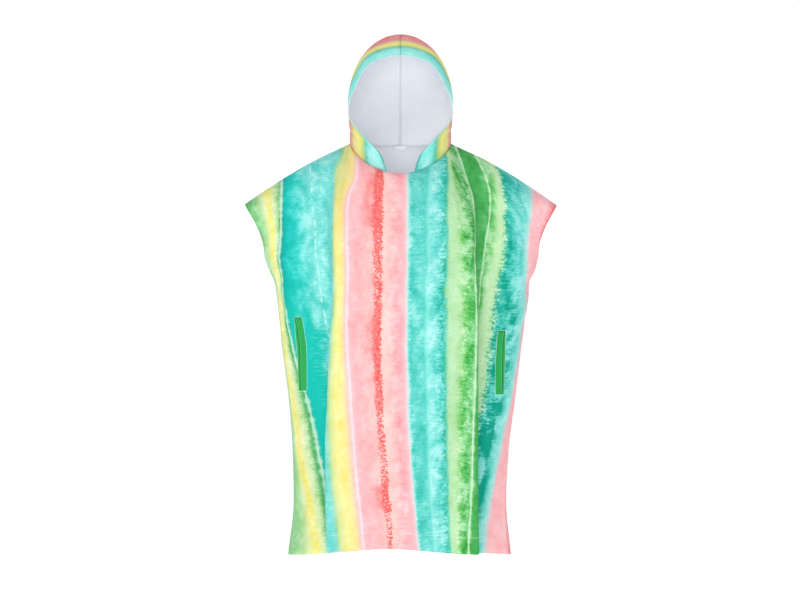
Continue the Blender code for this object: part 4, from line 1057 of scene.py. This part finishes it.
def hem_line(cloth, edge):
    """The line of stitches along one edge of a cloth: its points on the outer face and the normals there.

    Rows and columns are counted with fractions, and a line starts and ends a little inside the cloth.
    """
    rows, columns = cloth.outer.shape[:2]
    if edge == "bottom":
        column = np.linspace(0.6, columns - 1.6, 2 * columns)
        up = lengths(cloth.outer[::-1], 0)
        back = column_at(up.T, HEM_WIDTHS["bottom"])
        row = rows - 1 - np.interp(column, np.arange(columns), back)
    elif edge == "hood":
        row = np.linspace(0.8, rows - 1.2, 2 * rows)
        column = np.interp(row, np.arange(rows), column_at(lengths(cloth.outer, 1), HEM_WIDTHS["hood"]))
    else:
        row = np.linspace(0.5, TURN_ROWS + 1.2, 3 * TURN_ROWS)
        grid = cloth.outer if edge == "left" else cloth.outer[:, ::-1]
        column = np.interp(row, np.arange(rows), column_at(lengths(grid, 1), HEM_WIDTHS["armhole"]))
        column = column if edge == "left" else columns - 1 - column
    return on_grid(cloth.outer, row, column), on_grid(cloth.normals, row, column)


def welt_place(side, index):
    """The first and the last row and column that a welt takes up on the front's points."""
    rows = [TURN_ROWS + 1 + BODY_LEVELS.index(level) * ROW_SPLIT
            for level in (WELTS[side].top, WELTS[side].bottom)]
    return rows, sorted(index[f"welt_{side}_{edge}"] for edge in ("outer", "inner"))


def welt_piece(side, front, index, material):
    """A pocket welt on the front's own points: a low crowned strip with its slit pressed in."""
    (top, bottom), (first, last) = welt_place(side, index)
    place = np.s_[top:bottom + 1], np.s_[first:last + 1]
    base, normals = front.outer[place], front.normals[place]
    across = np.linspace(0, 1, base.shape[1])[None, :]
    if side == "right":
        across = 1 - across
    along = np.linspace(0, 1, base.shape[0])[:, None]
    crown = [np.sqrt(1 - WELT_THINNING * np.abs(2 * share - 1)**power)
             for share, power in ((across, WELT_ROUND_ACROSS), (along, WELT_ROUND_ALONG))]
    crown = crown[0] * crown[1]
    bow = SLIT_BOW * np.sin(SLIT_WAVE * along + SLIT_PHASE) * along
    slit = SLIT_AT + bow - SLIT_TURN * bell(along, SLIT_TURN_REACH)
    pressed = SLIT_DEPTH * bell(across - slit, SLIT_REACH)
    swell = WELT_SWELL * bell(across - WELT_SWELL_AT, WELT_SWELL_REACH)
    height = WELT_CLOTH * crown + swell * crown - pressed
    under = base + WELT_CLEARANCE * normals
    over = under + height[..., None] * normals
    width = lengths(base, 1)
    flat = np.stack([width if side == "left" else width[:, -1:] - width, lengths(base, 0)], axis=-1)
    mark = np.stack([(across - slit) * width[:, -1:], np.minimum(across, 1 - across) * width[:, -1:],
                     np.minimum(along, 1 - along) * np.ones_like(across)], axis=-1)
    cloth = Cloth(f"welt_{side}", over, under, normals, True, np.zeros(height.shape), mark, mark, flat)
    return shell(cloth, [material, material])


def welt_lines(side, front, index):
    """Lines of stitches on the front, close around a welt."""
    (top, bottom), (first, last) = welt_place(side, index)
    grid = front.outer

    def steps(point, neighbour):
        return WELT_STITCHES / np.linalg.norm(grid[point] - grid[neighbour])

    left = first - steps((top, first), (top, first - 1))
    right = last + steps((top, last + 1), (top, last))
    above = top - steps((top, first), (top - 1, first))
    below = bottom + steps((bottom + 1, first), (bottom, first))
    corners = [(above, left), (above, right), (below, right), (below, left)]
    lines = []
    for start, end in zip(corners, corners[1:] + corners[:1]):
        row, column = np.linspace(start, end, LINE_POINTS).T
        lines.append((on_grid(grid, row, column), on_grid(front.normals, row, column)))
    return lines


def behind_neck(x):
    """How far the back of the neckline has curved forward at a distance from the middle."""
    return NECK_BACK_DEPTH * (1 - np.sqrt(1 - (x / NECK_HALF_WIDTH) ** 2))


def neck_tab(material, thread):
    """The half-moon tab: a half ellipse that hangs inside the back neck and follows its curve."""
    across = np.linspace(-1, 1, 33)[None, :]
    down = np.linspace(0, 1, 11)[:, None]
    x = TAB_HALF_WIDTH * across * np.ones_like(down)
    height = TAB_END + (TAB_DROP - TAB_END) * np.sqrt(1 - across**2)
    back = np.stack([x, TAB_BACK_Y - behind_neck(x), TAB_TOP_Z - down * height], axis=-1)
    edge = np.minimum(1 - np.abs(across), (1 - down) * height / TAB_HALF_WIDTH)
    thick = TAB_CLOTH * (TAB_EDGE + TAB_RISE * ease(edge / TAB_BEVEL))
    face = back - np.array([0.0, 1.0, 0.0]) * thick[..., None]
    normals = np.broadcast_to([0.0, -1.0, 0.0], face.shape)
    flat = np.stack([x, down * height], axis=-1)
    mark = np.stack([edge, edge, edge], axis=-1)
    tab = Cloth("neck_half_moon", face, back, normals, True, np.zeros(edge.shape), mark, mark, flat)
    piece = shell(tab, [material, material])
    turn = np.radians(np.linspace(*TAB_LINE_ENDS, LINE_POINTS))
    x = TAB_LINE * TAB_HALF_WIDTH * np.cos(turn)
    points = np.stack([x, TAB_BACK_Y - behind_neck(x) - TAB_CLOTH,
                       TAB_TOP_Z - TAB_LINE * TAB_DROP * np.sin(turn)], axis=1)
    line = points, np.broadcast_to([0.0, -1.0, 0.0], points.shape)
    return piece, stitches("neck_tab_stitches", [line], FINE_THREAD, thread)


# ---------------------------------------------------------------------------------------- materials

MILLIMETRE = 0.001         # heights on the cloths are given in these
HEM_HEIGHT = 0.45
LINE_DEPTH = 0.55
SEAM_DEPTH = 0.7


def linear(code):
    """A colour's red, green and blue as light, from its usual code of six hex digits."""
    share = np.array([int(code[i:i + 2], 16) for i in (0, 2, 4)]) / 255
    light = np.where(share <= 0.04045, share / 12.92, ((share + 0.055) / 1.055) ** 2.4)
    return tuple(light.tolist()) + (1.0,)


class Wire:
    """A value on its way through a material: sums written on wires add the nodes that work them out."""

    def __init__(self, dye_pot, socket):
        self.dye_pot, self.socket = dye_pot, socket

    def sum(self, operation, *values):
        return self.dye_pot.node("ShaderNodeMath", {"operation": operation}, dict(enumerate(values)))

    def __add__(self, other):
        return self.sum("ADD", self, other)

    def __radd__(self, other):
        return self.sum("ADD", other, self)

    def __sub__(self, other):
        return self.sum("SUBTRACT", self, other)

    def __rsub__(self, other):
        return self.sum("SUBTRACT", other, self)

    def __mul__(self, other):
        return self.sum("MULTIPLY", self, other)

    def __truediv__(self, other):
        return self.sum("DIVIDE", self, other)

    def size(self):
        return self.sum("ABSOLUTE", self)

    def above(self, limit):
        return self.sum("GREATER_THAN", self, limit)

    def least(self, other):
        return self.sum("MINIMUM", self, other)

    def most(self, other):
        return self.sum("MAXIMUM", self, other)

    def between(self, low, high):
        """0 at low, 1 at high, smooth between."""
        values = {"Value": self, "From Min": low, "From Max": high}
        return self.dye_pot.node("ShaderNodeMapRange", {"interpolation_type": "SMOOTHSTEP"}, values)

    def bell(self, width):
        """1 at 0, falling off to both sides over width."""
        return self.sum("EXPONENT", self.sum("POWER", self.size() / width, 2.0) * -1.0)


class DyePot:
    """A material being made: a Principled shader and the nodes that feed it."""

    def __init__(self, name, **fixed):
        self.material = bpy.data.materials.new(name)
        self.material.use_nodes = True
        self.tree = self.material.node_tree
        self.shader = self.tree.nodes["Principled BSDF"]
        for socket, value in fixed.items():
            self.shader.inputs[socket.replace("_", " ")].default_value = value

    def node(self, kind, settings=None, values=None, out=0):
        """One node, with its settings and then the values and wires of its sockets. Gives its output."""
        node = self.tree.nodes.new(kind)
        for name, value in (settings or {}).items():
            if name == "stops":
                ramp = node.color_ramp
                ramp.elements[0].position, ramp.elements[0].color = value[0]
                ramp.elements[1].position, ramp.elements[1].color = value[-1]
                for position, colour in value[1:-1]:
                    ramp.elements.new(position).color = colour
            else:
                setattr(node, name, value)
        for name, value in (values or {}).items():
            if isinstance(value, Wire):
                self.tree.links.new(value.socket, node.inputs[name])
            else:
                node.inputs[name].default_value = linear(value) if isinstance(value, str) else value
        return Wire(self, node.outputs[out])

    def split(self, wire):
        """The three numbers of a vector."""
        node = self.node("ShaderNodeSeparateXYZ", None, {0: wire}).socket.node
        return [Wire(self, socket) for socket in node.outputs]

    def join(self, x, y, z):
        return self.node("ShaderNodeCombineXYZ", None, {0: x, 1: y, 2: z})

    def noise(self, x, y, z, detail=2.0, rough=0.55):
        """Cloudy noise at a place, from about 0.2 to 0.8."""
        values = {"Vector": self.join(x, y, z), "Scale": 1.0, "Detail": detail, "Roughness": rough}
        return self.node("ShaderNodeTexNoise", None, values, "Fac")

    def blend(self, share, first, second, kind="MIX"):
        """Two colours mixed, each a wire or a code. Socket 0 of the mix is the share, 6 and 7 the colours."""
        settings = {"data_type": "RGBA", "blend_type": kind, "clamp_factor": True}
        node = self.node("ShaderNodeMix", settings, {0: share, 6: first, 7: second}).socket.node
        return Wire(self, node.outputs[2])

    def feed(self, **wires):
        """Joins wires to the shader's own sockets."""
        for socket, wire in wires.items():
            self.tree.links.new(wire.socket, self.shader.inputs[socket.replace("_", " ")])

    def raise_up(self, height, distance, strength=1.0):
        """Turns a height into the shader's normal. distance is how many metres a height of 1 stands for."""
        values = {"Height": height, "Distance": distance, "Strength": strength}
        self.feed(Normal=self.node("ShaderNodeBump", None, values, "Normal"))

    def grain(self, scale, detail):
        """Noise through space, for things that have no flat cloth."""
        place = self.split(self.node("ShaderNodeTexCoord", None, None, "Object"))
        return self.noise(*[part * scale for part in place], detail)

    def marks(self, name):
        """The three numbers that each point carries under a name."""
        settings = {"attribute_name": name, "attribute_type": "GEOMETRY"}
        return self.split(self.node("ShaderNodeAttribute", settings, None, "Vector"))

    def flat(self):
        """Place on the flat cloth: across and down, in metres."""
        return self.split(self.node("ShaderNodeUVMap", {"uv_map": "cloth"}))[:2]


def stripe_colour(pot, place):
    """The colour of the row of stripes at a place, by ramps of thirty dyes each, one after the other."""
    colour = None
    for first in range(0, len(DYES) - 1, 29):
        dyes = DYES[first:first + 30]
        start, length = dyes[0].at, dyes[-1].at - dyes[0].at
        stops = [((dye.at - start) / length, linear(dye.colour)) for dye in dyes]
        part = pot.node("ShaderNodeValToRGB", {"stops": stops}, {"Fac": (place - start) / length}, "Color")
        colour = part if colour is None else pot.blend(place.above(start), colour, part)
    return colour


def sewn_height(past_line, seam, width=0.0009):
    """Height of sewing, in millimetres: the hem stands proud up to its stitches, which are drawn in."""
    band = 1 - past_line.between(-0.0008, 0.0012)
    line = past_line.bell(0.0011)
    return band * HEM_HEIGHT - line * LINE_DEPTH - seam.bell(width) * SEAM_DEPTH


def printed_towelling():
    """Velour towelling printed with the row of stripes.

    Hair-fine threads of dye run across the cloth, so the edges of the stripes are pulled to and fro by noise
    that is long across and short down. Clouds of paler and deeper dye follow the same direction.
    """
    pot = DyePot("printed_towelling", Roughness=0.92, Sheen_Weight=0.03, Sheen_Roughness=0.6,
                 Specular_IOR_Level=0.12)
    across, down = pot.flat()
    place, bleed, mottle = pot.marks("dye")
    past_line, seam, strength = pot.marks("make")

    def drift(across_scale, down_scale, seed, detail, rough):
        """Noise about 0, with so many of its waves to the metre across and down."""
        return pot.noise(across * across_scale, down * down_scale, seed, detail, rough) - 0.5

    cloud = drift(25.0, 15.0, 2.9, 2.0, 0.5)
    blot = drift(62.0, 46.0, 8.3, 3.0, 0.6)
    feather = drift(42.0, 185.0, 4.1, 4.0, 0.68)
    hair = drift(45.0, 560.0, 1.7, 2.0, 0.6)
    specks = drift(165.0, 200.0, 15.8, 3.0, 0.7)
    sway = drift(2.0, 11.0, 5.2, 2.0, 0.5)
    swayed = place + sway * SWAY
    ragged = swayed + bleed * (feather * 1.8 + blot * 1.5 + specks * 1.8)
    colour = stripe_colour(pot, ragged)

    # where more dye has run together a colour is the deeper, and paler where it is thin
    amount = mottle * (cloud * 2.0 + blot * 1.9 + feather * 1.4 + hair * 0.6) + bleed * specks * 80.0
    amount = (amount + 1.06).most(0.62).least(2.5)
    inked = pot.node("ShaderNodeGamma", None, {"Color": colour, "Gamma": amount})

    # the teal gathers at the left below the armhole, and darker still at the lower right; next to the left
    # # mint line the deep teal is partly print and partly painted shade of the valley
    left = (LEFT_TEAL_ENDS - place + cloud * 0.14 + feather * 0.03).between(0.0, 0.06) * place.above(0.0985)
    left = left * (strength * 1.3 - 0.25 + cloud * 1.5).between(0.0, 0.8)
    right = (ragged - RIGHT_TEAL_STARTS).between(-0.001, 0.004)
    right = right * (0.944 - place + cloud * 0.05).between(0.0, 0.02)
    dense = strength * 1.1 - 0.52 + cloud * 3.2 + blot * 2.2 + feather * 3.0 + hair * 1.2
    right = right * dense.between(0.0, 0.75)
    gathered_and_shaded = pot.blend(left * (0.90 + feather * 1.6 + hair), inked, DEEP_TEAL_AND_VALLEY_SHADE)
    gathered_and_shaded = pot.blend(right * 1.1, gathered_and_shaded, RIGHT_TEAL)

    # low on the left the green is thicker at the side seam and in the fold
    grown = (0.034 - ragged + blot * 0.05).between(0.0, 0.012)
    grown = grown * (strength * 1.2 - 0.35 + blot * 1.8).between(0.0, 0.7)
    greens = pot.blend(specks + feather + 0.5, *SIDE_GREENS)
    gathered_and_shaded = pot.blend(grown * 0.8, gathered_and_shaded, greens)
    fold = (swayed + bleed * feather - 0.0895).bell(0.0075)
    fold = fold * (strength * 1.8 - 0.8 + blot * 1.4).between(0.0, 0.6)
    gathered_and_shaded = pot.blend(fold * 0.85, gathered_and_shaded, FOLD_GREEN)

    # flecks along the ragged edges between teal and pale green
    for at, reach in TEAL_EDGES:
        flecked = (specks * 2.2 + feather * 1.6 + blot - 0.06).between(0.0, 0.16)
        flecked = (place - at + sway * SWAY).bell(reach) * flecked
        gathered_and_shaded = pot.blend(flecked * 0.75, gathered_and_shaded, FLECK_GREEN)

    # the red stripe: a soft wash that comes and goes, then a band of specks that is sharp on its far side
    wave = drift(9.0, 12.0, 21.5, 3.0, 0.6)
    swing = feather * 0.018 + specks * 0.016
    wash = (place - WASH_AT + swing).bell(WASH_REACH) * (strength * 1.9 - 1.45 + wave * 2.4).between(0.0, 0.6)
    washed = pot.blend(wash * 0.80, gathered_and_shaded, WASH_PINK)
    inside = (RED_END - swayed + swing * 1.3 + blot * 0.012 + wave * 0.012).between(-0.0012, 0.0016)
    inside = inside * (swayed - RED_START - swing * 1.8 + blot * 0.022 + wave * 0.024
                       - (1.0 - strength) * 0.012).between(-0.004, 0.007)
    kept = (specks * 2.6 + feather * 1.6 + blot * 0.8 + strength * 0.85 - 0.30).between(-0.12, 0.22)
    paler = (specks * -2.6 + blot * 1.2 + 0.32).between(0.0, 0.8)
    rose = pot.blend(paler, *REDS)
    colour = pot.blend(inside * kept * 0.90, washed, rose)

    # thin lines, wider and narrower and broken here and there
    for number, line in enumerate(LINES):
        run = drift(3.0, 62.0, 30.0 + number, 2.0, 0.5) + feather * 0.5
        half = (run * 3.2 + 1.0).most(0.55) * line.half
        here = (swayed + feather * 0.004 + blot * 0.003 - line.at).bell(half)
        drawn = (run + 0.32 - line.gaps * 0.55).between(0.0, 0.14)
        colour = pot.blend(here * drawn * 0.85, colour, line.colour)

    # every thread takes a little more or less dye
    pile = drift(900.0, 900.0, 3.3, 2.0, 0.6)
    worn = pot.blend(1.0, colour, PILE_GREY, "MULTIPLY")
    shaded = pot.blend((pile * 1.4 + 0.30).most(0.0) * 0.14, colour, worn)
    pot.feed(Base_Color=shaded)

    terry = pot.noise(across * 620.0, down * 620.0, 7.7, 3.0, 0.6)
    pot.raise_up(terry * 0.35 + sewn_height(past_line, seam), MILLIMETRE, 0.75)
    return pot.material


def white_towelling():
    """The looped inside of the towelling: off-white with a lavender tinge, and painted whiter on the hems as
    a highlight.
    """
    pot = DyePot("white_towelling", Roughness=0.95, Sheen_Weight=0.15, Specular_IOR_Level=0.12)
    across, down = pot.flat()
    past_line, seam, _ = pot.marks("make")
    values = {"Vector": pot.join(across, down, 0.0), "Scale": 520.0}
    loops = pot.node("ShaderNodeTexVoronoi", {"feature": "F1"}, values, "Distance")
    soft = pot.noise(across * 30.0, down * 30.0, 1.0, 3.0)
    ground = pot.blend(soft, *LOOP_WHITES)
    # the hems painted whiter, as a highlight where the edge turns to the light
    hem_highlighted = pot.blend(1 - past_line.between(-0.001, 0.001), ground, HEM_HIGHLIGHT_WHITE)
    pot.feed(Base_Color=pot.blend((loops * 0.9).least(1.0) * 0.12, hem_highlighted, LOOP_SHADE))
    pot.raise_up(1 - loops + sewn_height(past_line, seam, 0.0016) * 0.5, MILLIMETRE, 0.5)
    return pot.material


def green_towelling():
    """Plain green cloth of the welts, painted darkest in the slit as shade and paler along its lip as a
    highlight.
    """
    pot = DyePot("green_towelling", Roughness=0.9, Sheen_Weight=0.10, Specular_IOR_Level=0.25)
    across, down = pot.flat()
    from_slit, from_edge, _ = pot.marks("make")
    soft = pot.noise(across * 120.0, down * 60.0, 2.0, 3.0)
    ribs = pot.noise(across * 900.0, down * 240.0, 5.0, 2.0)
    ground = pot.blend(soft, *WELT_GREENS)
    # painted highlight along the lip of the slit
    lip_highlight = pot.blend((from_slit - 0.0021).bell(0.0012) * 0.55, ground, LIP_HIGHLIGHT_GREEN)
    # painted shade in the slit
    slit = pot.blend(from_slit.bell(0.0012) * 0.95, lip_highlight, SLIT_SHADE_GREEN)
    pot.feed(Base_Color=pot.blend(from_edge.bell(0.0008) * 0.35, slit, WELT_EDGE_GREEN))
    pot.raise_up(ribs * 0.4 - from_slit.bell(0.0010) * 0.5, MILLIMETRE, 0.7)
    return pot.material


def sewing_thread(name, code):
    """Matt sewing thread with its fine twist."""
    pot = DyePot(name, Roughness=0.75, Specular_IOR_Level=0.3)
    twist = pot.grain(2400.0, 1.0)
    pot.feed(Base_Color=pot.blend(twist, code, THREAD_LIGHT))
    pot.raise_up(twist, 0.0002, 0.5)
    return pot.material


def studio_paper():
    """Matt white paper of the backdrop."""
    pot = DyePot("studio_paper", Roughness=1.0, Specular_IOR_Level=0.0, Emission_Strength=0.30)
    pot.feed(Base_Color=pot.blend(pot.grain(40.0, 2.0), *PAPER_WHITES))
    return pot.material


# --------------------------------------------------------------------------------------- the studio

FLOOR_Z = -1.42
BACKDROP_Y = 4.8           # where the paper stands upright
SWEEP_RADIUS = 1.2
PAPER_HALF = 9.0           # it reaches this far to each side and forward
PAPER_TOP = 6.0


def backdrop(material):
    """A sheet of paper that lies flat and then sweeps up in a quarter circle behind the garment."""
    turn = np.linspace(0, math.pi / 2, 25)
    curve_y = BACKDROP_Y - SWEEP_RADIUS + SWEEP_RADIUS * np.sin(turn)
    curve_z = FLOOR_Z + SWEEP_RADIUS * (1 - np.cos(turn))
    y = np.concatenate([[-PAPER_HALF], curve_y, [BACKDROP_Y]])
    z = np.concatenate([[FLOOR_Z], curve_z, [PAPER_TOP]])
    x = np.linspace(-PAPER_HALF, PAPER_HALF, 13)
    points = np.stack(np.broadcast_arrays(x[None, :], y[:, None], z[:, None]), axis=-1)
    quads = grid_faces(*points.shape[:2])[1]
    paper = smooth_mesh("backdrop", points.reshape(-1, 3), quads, [material])


Lamp = namedtuple("Lamp", "place aim width height power")
LAMPS = {
    "front": Lamp(place=(-0.3, -4.9, -0.55), aim=(0.0, 0.0, -0.35), width=2.6, height=1.6, power=86.0),
    "key": Lamp(place=(-2.6, -3.0, 2.3), aim=(0.0, 0.0, -0.35), width=1.8, height=1.8, power=44.0),
    "side": Lamp(place=(3.0, -2.2, 1.7), aim=(0.0, 0.0, -0.35), width=1.8, height=1.8, power=20.0),
    "back": Lamp(place=(0.5, 2.2, 1.9), aim=(0.0, 0.0, -0.35), width=2.4, height=1.8, power=22.0),
    "inside": Lamp(place=(0.0, -0.03, -0.26), aim=(0.0, 0.08, -0.02), width=0.12, height=0.06, power=0.15),
}
SKY = 0.41                 # strength of the white surround
CAMERA_DISTANCE = 4.0
CAMERA_X, CAMERA_Z = -0.00125, -0.390
LENS, SENSOR = 72.29, 36.0


def studio():
    """Soft lights, a white surround and the camera."""
    scene = bpy.context.scene
    scene.view_settings.view_transform = "Standard"
    world = bpy.data.worlds.new("studio")
    world.use_nodes = True
    surround = world.node_tree.nodes["Background"].inputs
    surround["Color"].default_value = (1.0, 1.0, 1.0, 1.0)
    surround["Strength"].default_value = SKY
    scene.world = world
    for name, lamp in LAMPS.items():
        light = bpy.data.lights.new(name, "AREA")
        light.shape, light.size, light.size_y = "RECTANGLE", lamp.width, lamp.height
        light.energy = lamp.power
        holder = bpy.data.objects.new(name, light)
        holder.location = lamp.place
        x, y, z = np.array(lamp.aim) - np.array(lamp.place)
        holder.rotation_euler = (math.atan2(math.hypot(x, y), -z), 0.0, math.atan2(-x, y))
        holder.visible_camera = False
        scene.collection.objects.link(holder)
    lens = bpy.data.cameras.new("camera")
    lens.lens, lens.sensor_width, lens.sensor_fit = LENS, SENSOR, "HORIZONTAL"
    camera = bpy.data.objects.new("camera", lens)
    camera.location = (CAMERA_X, -CAMERA_DISTANCE, CAMERA_Z)
    camera.rotation_euler = (math.radians(90), 0.0, 0.0)
    scene.collection.objects.link(camera)
    scene.camera = camera


# ----------------------------------------------------------------------------------------- assembly

studio()
printed, white, green = printed_towelling(), white_towelling(), green_towelling()
thread, mint_thread = sewing_thread("pale_thread", "E3E0DA"), sewing_thread("mint_thread", "9CE6CC")
backdrop(studio_paper())

cloths, front_index = build_cloths()
# The size of the cloth that shows, worked flat, its area, and the edges that are sewn.
Cut = namedtuple("Cut", "flat area stitches")
CUTS = {
    "front_panel": Cut((1.00, 1.06), 0.863, ["armhole_left", "armhole_right", "bottom"]),
    "back_panel": Cut((0.94, 1.05), 0.757, ["armhole_left", "armhole_right", "bottom"]),
    "hood_left": Cut((0.33, 0.44), 0.0852, ["hood"]),
    "hood_right": Cut((0.33, 0.44), 0.0852, ["hood"]),
}
for name, cut in CUTS.items():
    cloth = cloths[name]
    piece = shell(cloth._replace(name=f"{name}_cloth"), [printed, white])
    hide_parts(name)
    lines = [hem_line(cloth, edge.split("_")[-1]) for edge in cut.stitches]
    seams = stitches(f"{name}_stitches", lines, HEM_THREAD, thread)

for side in WELTS:
    piece = welt_piece(side, cloths["front_panel"], front_index, green)
    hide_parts(f"pocket_welt_{side}")
    lines = welt_lines(side, cloths["front_panel"], front_index)
    sewn = stitches(f"welt_{side}_stitches", lines, WELT_THREAD, mint_thread)

tab, tab_stitches = neck_tab(white, thread)
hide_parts("neck_tab")
